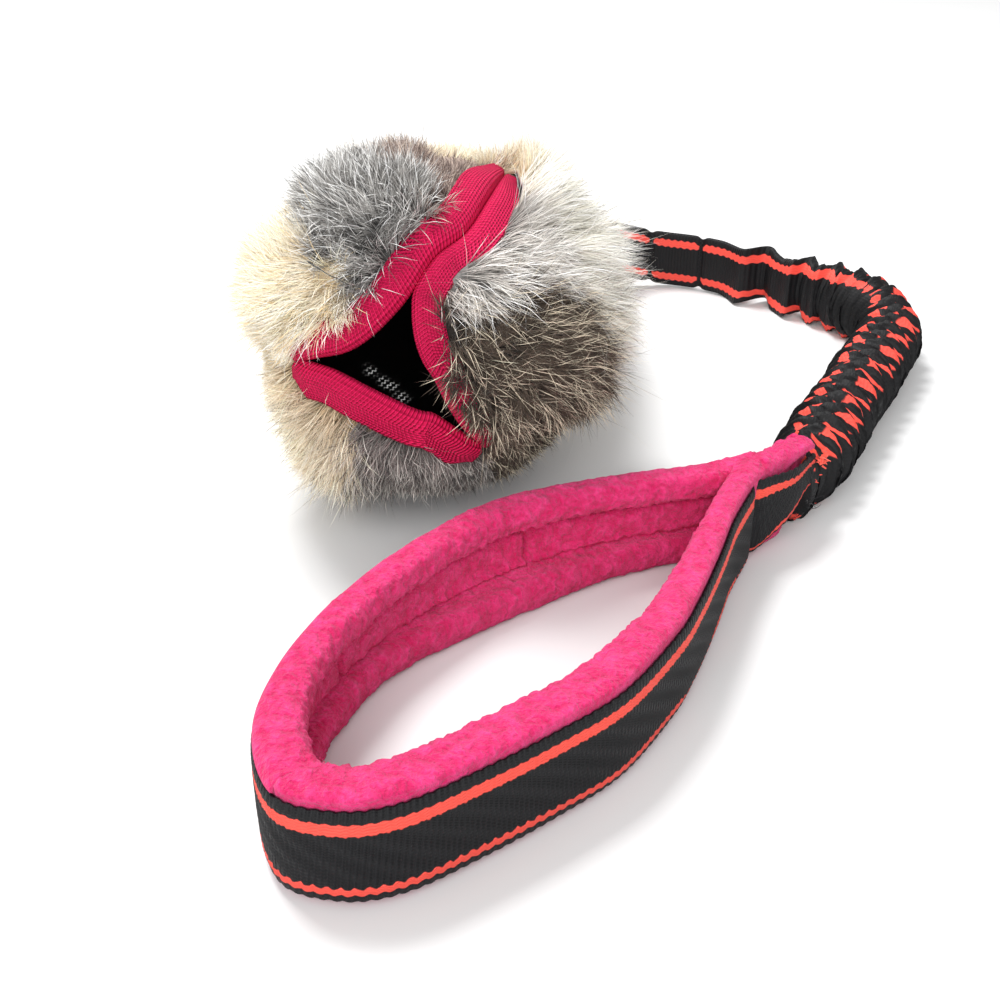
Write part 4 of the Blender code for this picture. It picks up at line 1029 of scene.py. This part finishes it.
def petal_grid(label, columns, rows, low=0.0, high=1.0, back=TAPE_WIDTH):
    """Directions over a petal, from behind its tape to the hinge circle: an array of columns by rows."""
    edge, side, _ = mouth_edge(label, 400)
    kept = PETAL_EDGE_KEPT
    width = back * tape_share(label, np.linspace(0, 1, 400))
    inner = step_aside(edge[kept], side[kept], width[kept])
    ends = []
    for k in (0, -1):
        polar = math.acos(np.clip(edge[k] @ FRONT, -1, 1)) + width[k] / SKIN_RADIUS
        limit = HINGE - width[k] / SKIN_RADIUS / 2
        ends.append(by_angle(np.array(min(polar, limit)), azimuth_of(edge[k])))
    line, _ = even_line(smooth_line(np.vstack((ends[:1], inner, ends[1:])), 6), 400)
    line = unit(line)
    first, last = azimuth_of(line[0]), azimuth_of(line[-1])
    turn = PETALS[label][1]
    share = np.linspace(low, high, columns)
    start = unit(read_rows(share * 399, np.arange(400), line))
    finish = by_angle(np.full(columns, HINGE), first - turn * ((first - last) * turn % math.tau) * share)
    down = np.linspace(0, 1, rows)
    return slerp(start[:, None, :], finish[:, None, :], np.broadcast_to(down, (columns, rows)))


# Rear of the pouch, from the hinge circle to the tail
REAR_PULL = 0.05
REAR_SINK_SHARE = 0.1
REAR_TAPER_POWER = 1.55
TAIL_PULL = 0.04
TAIL_HALF_HEIGHT = 0.0150
TAIL_HALF_WIDTH = 0.0070
REAR_OUT = 0.0087
REAR_HIDE_INSET = 0.0075
REAR_LINING_INSET = 0.0122


def rear_surface(share, turn, inset):
    """Points of the pouch behind its petals: share runs back to the tail, turn runs round from the right."""
    tail, way, _ = STRAP.at(np.array(0.0))
    radius = SKIN_RADIUS + REAR_OUT - inset
    start = POUCH_CENTRE + FRONT * radius * math.cos(HINGE)
    after = start - np.array((FRONT[0], FRONT[1], FRONT[2] * REAR_SINK_SHARE)) * REAR_PULL
    before = tail - way * TAIL_PULL
    t = share[..., None]
    rest = 1 - t
    centre = start * rest ** 3 + 3 * after * t * rest ** 2 + 3 * before * t ** 2 * rest + tail * t ** 3
    normal = unit(-FRONT * (1 - ease(t)) + way * ease(t))
    side = RIGHT * (1 - ease(t)) + np.array((way[1], -way[0], 0)) * ease(t)
    side = unit(side - normal * (side * normal).sum(-1, keepdims=True))
    above = np.cross(side, normal)
    above = above * np.sign(above[..., 2:3])
    round_share = 1 - t ** REAR_TAPER_POWER
    full = radius * math.sin(HINGE)
    wide = TAIL_HALF_WIDTH + (full - TAIL_HALF_WIDTH) * round_share
    high = TAIL_HALF_HEIGHT + (full - TAIL_HALF_HEIGHT) * round_share
    out = side * np.cos(turn)[..., None] * wide + above * np.sin(turn)[..., None] * high
    return centre + out


def grid_normals(points):
    across = np.gradient(points, axis=0)
    down = np.gradient(points, axis=1)
    return unit(np.cross(across, down))


def cell_areas(points):
    """The area of each cell of a grid of points."""
    a = points[1:, :-1] - points[:-1, :-1]
    b = points[:-1, 1:] - points[:-1, :-1]
    return np.linalg.norm(np.cross(a, b), axis=-1)


def surface_samples(points, normals, count, rng, grown=1.0):
    """Random places spread evenly over a grid of points, with their normals."""
    area = cell_areas(points) * grown
    cells = rng.choice(area.size, count, p=(area / area.sum()).ravel())
    i, j = np.unravel_index(cells, area.shape)
    u, v = rng.random(count)[:, None], rng.random(count)[:, None]

    def at(values):
        one = values[i, j] * (1 - u) + values[i + 1, j] * u
        two = values[i, j + 1] * (1 - u) + values[i + 1, j + 1] * u
        return one * (1 - v) + two * v

    return at(points), unit(at(normals))


# How far along a hair its bends are, and how wide it is at its root and its two bends
HAIR_STEPS = (0.0, 0.3, 0.65, 1.0)
HAIR_PROFILE = (1.0, 0.9, 0.62)


def strands(name, roots, normals, ways, lengths, widths, root_tint, tip_tint, bands, curl, rng):
    """Hairs as thin ribbons that taper to a point. ways is the direction of each hair's tip."""
    count = len(roots)
    start, lean = unit(normals * 0.9 + ways * 0.5), unit(ways)
    swing = rng.normal(0, 1, (count, 3)) * curl
    lines = [roots - normals * 0.0010]
    for low, high in zip(HAIR_STEPS, HAIR_STEPS[1:]):
        heading = unit(start * (1 - high) + lean * high + swing * high)
        lines.append(lines[-1] + heading * (lengths * (high - low))[:, None])
    lines = lifted(np.stack(lines, 1), 0.0004)
    facing = unit(normals + rng.normal(0, 0.5, (count, 3)))
    side = unit(np.cross(lines[:, -1] - lines[:, 0], facing))
    wide = widths[:, None, None] * np.array(HAIR_PROFILE)[None, :, None] / 2 * side[:, None, :]
    points = np.empty((count, 7, 3))
    points[:, 0:6:2], points[:, 1:6:2] = lines[:, :3] - wide, lines[:, :3] + wide
    points[:, 6] = lines[:, 3]
    share = np.repeat(HAIR_STEPS, 2)[:7]
    blend = ease((share - bands[0]) / (bands[1] - bands[0]))[None, :, None]
    tint = root_tint.clip(0, 1)[:, None, :] * (1 - blend) + tip_tint.clip(0, 1)[:, None, :] * blend
    base = (np.arange(count) * 7)[:, None]
    quads = np.concatenate([base + np.array((k, k + 1, k + 3, k + 2)) for k in (0, 2)])
    faces = [quads, base + np.array((4, 5, 6))]
    return mesh_object(name, lifted(points, 0.0002), faces, FUR, colours=tint, smooth=False)


def tufts(roots, ways, rng, each, pull):
    """Hair ways drawn together in small tufts, and a number from 0 to 1 for each hair's tuft."""
    count = max(1, len(roots) // each)
    heads = rng.choice(len(roots), count, replace=False)
    tree = kdtree.KDTree(count)
    for k, head in enumerate(heads):
        tree.insert(roots[head], k)
    tree.balance()
    owner = np.array([tree.find(root)[1] for root in roots])
    target = unit(ways[heads][owner] * 0.011 + (roots[heads][owner] - roots))
    return unit(ways * (1 - pull) + target * pull), rng.random(count)[owner]


def on_front(right, above):
    """A direction from the pouch's centre, from its place seen from the front. Past the rim it is behind."""
    size = math.hypot(right, above)
    ahead = math.sqrt(1 - size ** 2) if size < 1 else -0.4 * (size - 1)
    way = right * RIGHT + above * ABOVE + ahead * FRONT
    return way / np.linalg.norm(way)


# Each coat: middle and whorl as (right, above) seen from the front, flow, undercoat root and tip, guard hair
# root, tip and pale tip, share of pale tips, length in mm, how far the hair lies down, and how wild it is
Coat = namedtuple(
    "Coat", "middle whorl flow under_root under_tip root tip pale_tip pale_share length low wild")
COATS = {
    "grey": Coat(
        (-0.26, 0.64), (-0.16, 0.58), (0, 0), (0.09, 0.086, 0.082), (0.38, 0.365, 0.345),
        (0.05, 0.047, 0.045), (0.09, 0.085, 0.08), (1.0, 0.98, 0.95), 0.66, 9.5, 0.90, 0.65),
    "rose": Coat(
        (0.20, 0.84), (0.10, 0.70), (0.4, 0.9), (0.20, 0.14, 0.12), (0.50, 0.39, 0.34),
        (0.10, 0.07, 0.06), (0.20, 0.15, 0.13), (0.80, 0.66, 0.55), 0.35, 8.5, 0.9, 0.4),
    "cream": Coat(
        (-0.74, 0.14), (-0.52, 0.30), (0, 0), (0.86, 0.70, 0.47), (1.0, 0.91, 0.74), (0.92, 0.78, 0.54),
        (1.0, 0.96, 0.86), (0.90, 0.68, 0.38), 0.30, 9.5, 1.1, 0.3),
    "tan": Coat(
        (-0.72, -0.48), (-0.50, -0.30), (-0.5, -0.5), (0.46, 0.34, 0.20), (0.88, 0.73, 0.53),
        (0.60, 0.46, 0.28), (0.97, 0.87, 0.70), (0.16, 0.12, 0.09), 0.10, 11.5, 1.1, 0.5),
    "ash": Coat(
        (-0.16, -0.82), (-0.10, -0.50), (0, -0.4), (0.10, 0.090, 0.085), (0.27, 0.24, 0.225),
        (0.12, 0.11, 0.10), (0.66, 0.62, 0.57), (0.05, 0.045, 0.045), 0.35, 10.0, 1.1, 0.55),
    "white": Coat(
        (0.80, 0.50), (0.02, 0.48), (1.0, 0.05), (0.68, 0.62, 0.53), (1.0, 0.97, 0.86),
        (0.80, 0.74, 0.62), (1.0, 0.97, 0.88), (0.30, 0.28, 0.26), 0.14, 14.5, 1.6, 0.25),
    "smoke": Coat(
        (0.36, 0.46), (0.04, 0.46), (1.0, 0.05), (0.22, 0.21, 0.20), (0.70, 0.66, 0.61),
        (0.30, 0.28, 0.26), (0.98, 0.94, 0.88), (1.0, 0.98, 0.94), 0.35, 11.5, 1.4, 0.35),
    "buff": Coat(
        (0.68, 0.86), (0.50, 0.60), (0.3, 1.0), (0.74, 0.60, 0.42), (0.98, 0.86, 0.66),
        (0.80, 0.66, 0.46), (1.0, 0.93, 0.78), (0.70, 0.55, 0.38), 0.25, 11.5, 0.9, 0.3),
    "brown": Coat(
        (0.56, -0.12), (0.14, 0.06), (0.4, -0.3), (0.036, 0.027, 0.021), (0.120, 0.090, 0.066),
        (0.026, 0.019, 0.015), (0.075, 0.054, 0.040), (0.96, 0.84, 0.64), 0.45, 10.5, 1.0, 0.70),
}
COAT_NAMES = list(COATS)
MIDDLES = np.array([on_front(*coat.middle) for coat in COATS.values()])
WHORLS = np.array([on_front(*coat.whorl) for coat in COATS.values()])
FLOWS = np.array([coat.flow[0] * RIGHT + coat.flow[1] * ABOVE for coat in COATS.values()])

# The pouch's outline with its hair: degrees from the right, turning up, and the distance from its centre in
# mm
REACH = (
    (0, 61), (10, 60), (20, 61), (29, 64), (37, 58), (45, 62), (52, 64), (58, 63), (66, 56), (71, 52),
    (78, 54), (85, 52), (91, 57), (98, 60), (105, 61), (116, 62.5), (127, 62), (136, 56), (146, 58),
    (157, 62), (168, 62), (176, 59), (182, 55), (187, 51.5), (191, 51), (195, 52), (199, 55), (209, 55.5),
    (219, 57), (231, 60.5), (241, 60), (252, 55.5), (262, 52), (277, 51), (301, 51), (312, 51.5),
    (322, 52.5), (332, 58), (340, 62), (348, 61), (360, 61),
)
# The notch in the outline where the left corner's two lobes part, as (right, above) seen from the front
NOTCH = (-0.99, -0.17)
NOTCH_SHARE = 0.17
HAIR_RISE = 0.0066
CROWN_START = 0.100
CROWN_RUN = 0.016
FRONT_REACH = 0.0605


def reach(ways):
    """How far out the hair reaches in each direction from the pouch's centre."""
    right, above = ways @ RIGHT, ways @ ABOVE
    angle = np.degrees(np.arctan2(above, right)) % 360
    table = np.array(REACH)
    rim = np.interp(angle, table[:, 0], table[:, 1] / 1000)
    weight = ease((np.hypot(right, above) - 0.45) / 0.5)
    behind = ease((-(ways @ FRONT) - 0.25) / 0.5)
    rim = rim * (1 - behind) + 0.0590 * behind
    flat = ways.reshape(-1, 3)
    lumps = fractal(flat * SKIN_RADIUS, 0.017, 7.0, 2).reshape(right.shape) * 0.0027
    return FRONT_REACH * (1 - weight) + rim * weight + lumps


def skin_radius(ways):
    return np.maximum(reach(ways) - HAIR_RISE, SKIN_RADIUS - 0.0005)


def coat_of(ways, names, seed):
    """The coat at each direction, out of the names, with ragged borders."""
    allowed = [COAT_NAMES.index(name) for name in names]
    ragged = np.stack([fractal(ways * SKIN_RADIUS, 0.009, seed + k, 2) for k in (0.0, 11.0, 23.0)], 1) * 0.16
    near = (unit(ways + ragged)[:, None, :] * MIDDLES[allowed][None]).sum(-1)
    return np.array(allowed)[np.argmax(near, 1)]


# Each layer of hair: hairs for each square centimetre, width, hairs in a tuft and how far they draw
# together, how far they stray alone and with a wild coat, curl, length, how far they lie down, where their
# tip's colour starts and is full, and the colours of root and tip
Layer = namedtuple("Layer", "density width each pull stray spread curl size tilt bands root tip")
LAYERS = {
    "coat": Layer(
        330, 0.00025, 16, 0.50, 0.22, 0.35, 0.15, 0.95, 1.0, (0.0, 0.8), "under_root", "under_tip"),
    "guard": Layer(115, 0.00023, 4, 0.40, 0.28, 0.95, 0.13, 1.35, 1.0, (0.26, 0.60), "root", "tip"),
    "stray": Layer(8, 0.00014, 1, 0.0, 0.55, 0.6, 0.30, 1.85, 0.5, (0.2, 0.9), "root", "tip"),
}


def coat_values(kinds, part):
    """One value of the coat that each hair belongs to."""
    return np.array([getattr(coat, part) for coat in COATS.values()])[kinds]


def shades(kinds, part, rng, wide=0.10):
    return coat_values(kinds, part) * (1 + wide * rng.normal(size=len(kinds)))[:, None]


def hairs(name, points, normals, names, body, slot_name, seed, scale=1.0, flow=None, layers=tuple(LAYERS),
          thin=1.0):
    """The layers of hair over a grid of points, coloured and combed by the coats they stand in."""
    rng = np.random.default_rng(seed)
    area = cell_areas(points).sum() * 1e4
    for layer in layers:
        form = LAYERS[layer]
        count = max(8, int(area * form.density * thin * HAIR_SHARE))
        roots, outward = surface_samples(points, normals, count, rng)
        ways = unit(roots - POUCH_CENTRE)
        kinds = coat_of(ways, names, seed)
        wild = coat_values(kinds, "wild")[:, None]
        lean = unit(ways - WHORLS[kinds])
        lean = lean + FLOWS[kinds] if flow is None else lean * 0.3 + flow
        notch = ways - on_front(*NOTCH)
        near = np.exp(-((notch * notch).sum(1, keepdims=True) / NOTCH_SHARE ** 2))
        lean = lean + unit(notch) * near * 3.0 + swirls(roots, 0.008, seed) * (1.2 + 3.0 * wild)
        lean = lean - outward * (lean * outward).sum(-1, keepdims=True)
        tilt = coat_values(kinds, "low") * (1 + 0.22 * rng.normal(size=count)) * form.tilt
        loose = rng.normal(0, 1, (count, 3)) * (form.stray + wild * form.spread)
        head = unit(outward + unit(lean + 1e-9) * tilt[:, None] + loose)
        head, tuft = tufts(roots, head, rng, form.each, form.pull)
        room = (reach(ways) - np.linalg.norm(roots - POUCH_CENTRE, axis=1)) / HAIR_RISE
        sized = np.clip(room, 0.45, 1.25) * (0.78 + 0.44 * rng.random(count)) * (0.88 + 0.24 * tuft)
        crown = 1 - 0.30 * ease((roots[:, 2] - CROWN_START) / CROWN_RUN)
        lengths = coat_values(kinds, "length") / 1000 * form.size * sized * scale
        lengths = lengths * (1 - 0.45 * near[:, 0]) * crown
        widths = form.width * (0.7 + 0.6 * rng.random(count))
        tone = ((1 + 0.24 * fractal(roots, 0.011, seed + 40.0, 2)) * (0.82 + 0.36 * tuft))[:, None]
        root_tint, tip_tint = (shades(kinds, part, rng) * tone for part in (form.root, form.tip))
        if layer != "coat":
            pale = rng.random(count) < coat_values(kinds, "pale_share")
            tip_tint = np.where(pale[:, None], shades(kinds, "pale_tip", rng, 0.05), tip_tint)
        made = strands(name + "_" + layer, roots, outward, head, lengths, widths, root_tint, tip_tint,
                       form.bands, form.curl, rng)
        dress(made, slot_name, body)


# The hide takes its coat's undercoat root colour, darkened to 0.7 as painted shade under the hair.
def hide_tint(ways, names):
    return coat_values(coat_of(ways.reshape(-1, 3), names, 1.0), "under_root") * 0.7


def make_skin(name, points, body, node, slot_name, names):
    """The hide under the hair, as a shell just under the hair roots."""
    points = lifted(points, 0.0006)
    made = mesh_object(name, points, [grid_faces(*points.shape[:2])], FUR,
                       colours=hide_tint(unit(points - POUCH_CENTRE), names))
    solid = made.modifiers.new("thickness", "SOLIDIFY")
    solid.thickness = SKIN_THICK
    solid.offset = 0.0
    dress(made, slot_name, body, node)


# Each petal's coats, and its two halves: patch, node, slot and seed of its hair
PETAL_COATS = {
    "top": (("grey", "rose", "cream"), (
        ("grey_top", "hide_grey_top", "fur_grey", 10), ("pale_left", "hide_cream_left", "fur_cream", 11))),
    "right": (("white", "smoke", "buff", "brown"), (
        ("white_right", "hide_white_right", "fur_white", 12),
        ("brown_right", "hide_brown_right", "fur_brown", 13))),
    "lower": (("tan", "ash"), (
        ("tan_lower", "hide_tan_lower", "fur_tan", 14), ("grey_lower", "hide_grey_lower", "fur_grey", 15))),
}


def make_petals():
    for label, (names, halves) in PETAL_COATS.items():
        body = "petal_" + label
        for half, (patch, node, slot_name, seed) in enumerate(halves):
            ways = petal_grid(label, 60, 44, half / 2, half / 2 + 0.5, TAPE_WIDTH * 0.90)
            points = POUCH_CENTRE + ways * skin_radius(ways)[..., None]
            make_skin("skin_" + patch, points - ways * 0.0008, body, node, slot_name, names)
            hairs("fur_" + patch, points, ways, names, body, slot_name, seed)
        make_hinge(label, names, node, slot_name)
        make_lining(label, body)
        make_tape(label, body)
    make_overlap()
    make_corner()


# How far the band across a petal's hinge reaches behind the hinge circle and ahead of it, as angles from the
# circle
HINGE_BEHIND = 0.10
HINGE_AHEAD = 0.07


def make_hinge(label, names, node, slot_name):
    """The hide and the lining across a petal's hinge."""
    turn = np.unwrap(azimuth_of(petal_grid(label, 90, 2)[:, 1]))
    polar = np.linspace(HINGE + HINGE_BEHIND, HINGE - HINGE_AHEAD, 14)
    ways = by_angle(*np.meshgrid(polar, turn, indexing="ij"))
    hide = hide_tint(ways, names)
    for name, radius, surface, tint, stands_for, kind in (
            ("hinge_skin_", skin_radius(ways)[..., None] - 0.0016, FUR, hide, node, slot_name),
            ("hinge_mesh_", SKIN_RADIUS - 0.0031, LINING, hide * 0, "lining_" + label, "mesh")):
        points = lifted(POUCH_CENTRE + ways * radius, 0.0012)
        made = mesh_object(name + label, points, [grid_faces(*ways.shape[:2])], surface, ways[..., :2] * 300,
                           tint)
        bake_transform(made)
        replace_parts(made, stands_for)


def make_corner():
    """The tuft that stands behind the mouth's top corner, between two petals."""
    edge, _, _ = mouth_edge("right", 50)
    polar, azimuth = math.acos(edge[0] @ FRONT), azimuth_of(edge[0])
    ways = by_angle(*np.meshgrid(np.linspace(polar - 0.04, HINGE + 0.05, 24),
                                azimuth + np.linspace(-0.36, 0.16, 24), indexing="ij"))
    points = POUCH_CENTRE + ways * (skin_radius(ways) - 0.0006)[..., None]
    make_skin("skin_corner", points, "pouch", "hide_rear", "fur_white", ("buff", "rose"))
    lean = 0.6 * RIGHT + 0.5 * FRONT + 0.4 * ABOVE
    hairs("fur_corner", points, ways, ("buff", "rose"), "pouch", "fur_white", 41, 0.9, lean * 1.4, thin=1.2)


# Hair over the tape: petal, coat, where on the edge it starts and ends, which way it lies, slot and density
OVERLAPS = (
    ("right", "brown", 0.76, 1.0, -0.9 * RIGHT - 0.35 * ABOVE, "fur_brown", 0.8),
    ("top", "cream", 0.86, 1.0, 0.2 * RIGHT - 1.0 * ABOVE, "fur_cream", 0.12),
)


def make_overlap():
    """Brown hair over the lower end of the right petal's tape, and cream hair over the left corner."""
    for label, coat, low, high, lean, slot_name, thin in OVERLAPS:
        edge, side, _ = mouth_edge(label, 200)
        part = slice(int(low * 199), int(high * 199) + 1, 3)
        edge, side = edge[part], side[part]
        back = np.linspace(0.42, 1.25, 14)
        ways = np.stack([step_aside(edge, side, np.full(len(edge), TAPE_WIDTH * b)) for b in back], 1)
        points = POUCH_CENTRE + ways * (SKIN_RADIUS + 0.0027)
        hairs("fur_over_tape_" + label, points, ways, (coat,), "petal_" + label, slot_name, 55, 0.85,
              lean * 1.6, ("coat", "guard"), thin)


def camera_ray(spot):
    """The way from the camera through a pixel of the 1000 pixel wide picture."""
    down = math.radians(CAMERA_DOWN)
    ahead = np.array((0, math.cos(down), -math.sin(down)))
    above = np.array((0, math.sin(down), math.cos(down)))
    focal = LENS / SENSOR * 1000
    way = ahead * focal + np.array((1.0, 0, 0)) * (spot[0] - 500) - above * (spot[1] - 500)
    return way / np.linalg.norm(way)


# Where the lining's holes are painted as lit, with a glow, as pixels of the photo
PAINTED_LIT_HOLES = ((371, 371), (384, 382), (392, 386), (402, 397))


def lining_tint(points):
    """1 where the lining's holes are painted lit and glowing, and 0 elsewhere, as a grey."""
    weight = np.zeros(len(points))
    for spot in PAINTED_LIT_HOLES:
        way = camera_ray(spot)
        off = points - np.array(CAMERA_PLACE)
        away = np.linalg.norm(off - (off @ way)[:, None] * way, axis=1)
        weight = np.maximum(weight, np.exp(-(away / 0.0017) ** 4))
    return np.repeat(weight[:, None], 3, 1)


def lining_piece(name, points, cells, body, node):
    points = lifted(points, 0.003)
    rows, columns = points.shape[:2]
    down, across = np.linspace(0, cells[0], rows), np.linspace(0, cells[1], columns)
    uv = np.stack(np.meshgrid(down, across, indexing="ij"), -1)
    tint = lining_tint(points.reshape(-1, 3))
    dress(mesh_object(name, points, [grid_faces(rows, columns)], LINING, uv, tint), "mesh", body, node)


def make_lining(label, body):
    ways = petal_grid(label, 90, 40, 0.02, 0.98, TAPE_WIDTH * 0.2)
    points = POUCH_CENTRE + ways * (SKIN_RADIUS - LINING_DEPTH)
    lining_piece("mesh_" + label, points, (44, 26), body, "lining_" + label)


def make_tape(label, body):
    """The folded tape along a petal's mouth edge, soft and rounded over the lip."""
    edge, side, runs = mouth_edge(label, TAPE_STEPS)
    turns = np.linspace(0.0, 1.0, TAPE_SIDES)
    back = np.where(turns <= 0.5, 1 - turns * 2, turns * 2 - 1)
    away = TAPE_WIDTH * (0.02 + 0.98 * back ** 0.9)
    bulge = np.sqrt(clamp(1 - (1 - clamp(back / 0.34)) ** 2))
    level = np.where(turns <= 0.5, TAPE_OUT * bulge, -TAPE_IN * bulge)
    taper = tape_share(label, np.linspace(0, 1, TAPE_STEPS))[:, None]
    ripple = 0.00030 * np.sin(runs / 0.0043 + 2 * np.sin(runs / 0.011))[:, None] * back[None, :]
    ways = step_aside(edge[:, None, :], side[:, None, :], away[None, :] * taper)
    radius = SKIN_RADIUS + level[None, :] * (0.6 + 0.4 * taper) + ripple
    uv = np.stack(np.broadcast_arrays(runs[:, None] / TAPE_WIDTH, back[None, :]), -1)
    points = POUCH_CENTRE + ways * radius[..., None]
    made = mesh_object("tape_band_" + label, points, [grid_faces(TAPE_STEPS, TAPE_SIDES)], TAPE, uv)
    solid = made.modifiers.new("thickness", "SOLIDIFY")
    solid.thickness = 0.0007
    dress(made, "pink_tape", body, "tape_" + label)


# A thin seam thread on the cream patch, as pixels of the photo
SEAM_THREAD = ((308, 262), (318, 268), (329, 275), (338, 279), (348, 285))


def make_seam_thread():
    controls = []
    for spot in SEAM_THREAD:
        way = camera_ray(spot)
        near = (POUCH_CENTRE - np.array(CAMERA_PLACE)) @ way
        off = np.array(CAMERA_PLACE) + way * near - POUCH_CENTRE
        depth = math.sqrt(0.0612 ** 2 - off @ off)
        controls.append(POUCH_CENTRE + off - way * depth)
    line = smooth_line(controls, 8)
    ways = unit(line - POUCH_CENTRE)
    ribbon("seam_thread", line[None], (0.00042,), ways[None], ((0.05, 0.05, 0.05),), "petal_top")


REAR_COATS = ("grey", "cream", "tan", "ash", "brown", "white", "buff")


def make_rear():
    share = np.linspace(0.0, 1.0, 80)
    _, way, _ = STRAP.at(np.array(0.0))
    for k in range(4):
        turn = np.linspace(k * math.pi / 2, (k + 1) * math.pi / 2, 40)
        s, t = np.meshgrid(share, turn, indexing="ij")
        points = lifted(rear_surface(s, t, REAR_HIDE_INSET), 0.001)
        normals = grid_normals(points)
        middle = rear_surface(s, t + math.pi, REAR_HIDE_INSET)
        if (normals * (points - middle)).sum() < 0:
            normals = -normals
        make_skin("skin_rear_" + str(k), points, "pouch", "hide_rear", "fur_white", REAR_COATS)
        hairs("fur_rear_" + str(k), points, normals, REAR_COATS, "pouch", "fur_white", 31 + k, 1.0,
              -FRONT * 0.6 + way * 0.8, thin=0.72)
    turn = np.linspace(0.0, math.tau, 120)
    s, t = np.meshgrid(np.linspace(0.0, 0.6, 60), turn, indexing="ij")
    lining_piece("mesh_rear", rear_surface(s, t, REAR_LINING_INSET), (44, 140), "pouch", "lining_rear")


# Stage


FLOOR_LIT = (0.56, 0.56, 0.56)
FLOOR_SEEN = (0.75, 0.75, 0.75)
WORLD_LIGHT = 0.70
# Each lamp: place, size and power
LAMPS = {"key": ((-0.48, 0.48, 1.45), 0.5, 24.0), "fill": ((-0.3, -1.4, 0.9), 1.4, 22.0)}


def make_stage():
    bpy.ops.mesh.primitive_plane_add(size=12.0, location=(0, 0, -0.0002))
    floor = bpy.context.object
    floor.name = "floor"
    n = Nodes("floor", 0.9, Specular_IOR_Level=0.0)
    rays = n.add("LightPath")
    seen = n.math("MAXIMUM", n.out(rays, "Is Camera Ray"), n.out(rays, "Is Glossy Ray"))
    seen = n.math("MAXIMUM", seen, n.out(rays, "Is Transmission Ray"))
    floor.data.materials.append(n.colour(n.mix(seen, FLOOR_LIT, FLOOR_SEEN)))
    world = bpy.data.worlds.new("world")
    world.use_nodes = True
    sky = world.node_tree.nodes["Background"].inputs
    sky["Color"].default_value = (1, 1, 1, 1)
    sky["Strength"].default_value = WORLD_LIGHT
    bpy.context.scene.world = world
    for name, (place, size, power) in LAMPS.items():
        lamp = bpy.data.lights.new(name, "AREA")
        lamp.size = size
        lamp.energy = power
        made = add_object(name, lamp)
        made.location = place
        made.rotation_euler = (-Vector(place)).to_track_quat("-Z", "Y").to_euler()
    camera = bpy.data.cameras.new("camera")
    camera.lens = LENS
    camera.sensor_width = SENSOR
    made = add_object("camera", camera)
    made.location = CAMERA_PLACE
    made.rotation_euler = (math.radians(90 - CAMERA_DOWN), 0, 0)
    bpy.context.scene.camera = made
    bpy.context.scene.view_settings.view_transform = "Standard"


make_stage()
make_strap()
make_loop()
make_petals()
make_rear()
make_seam_thread()
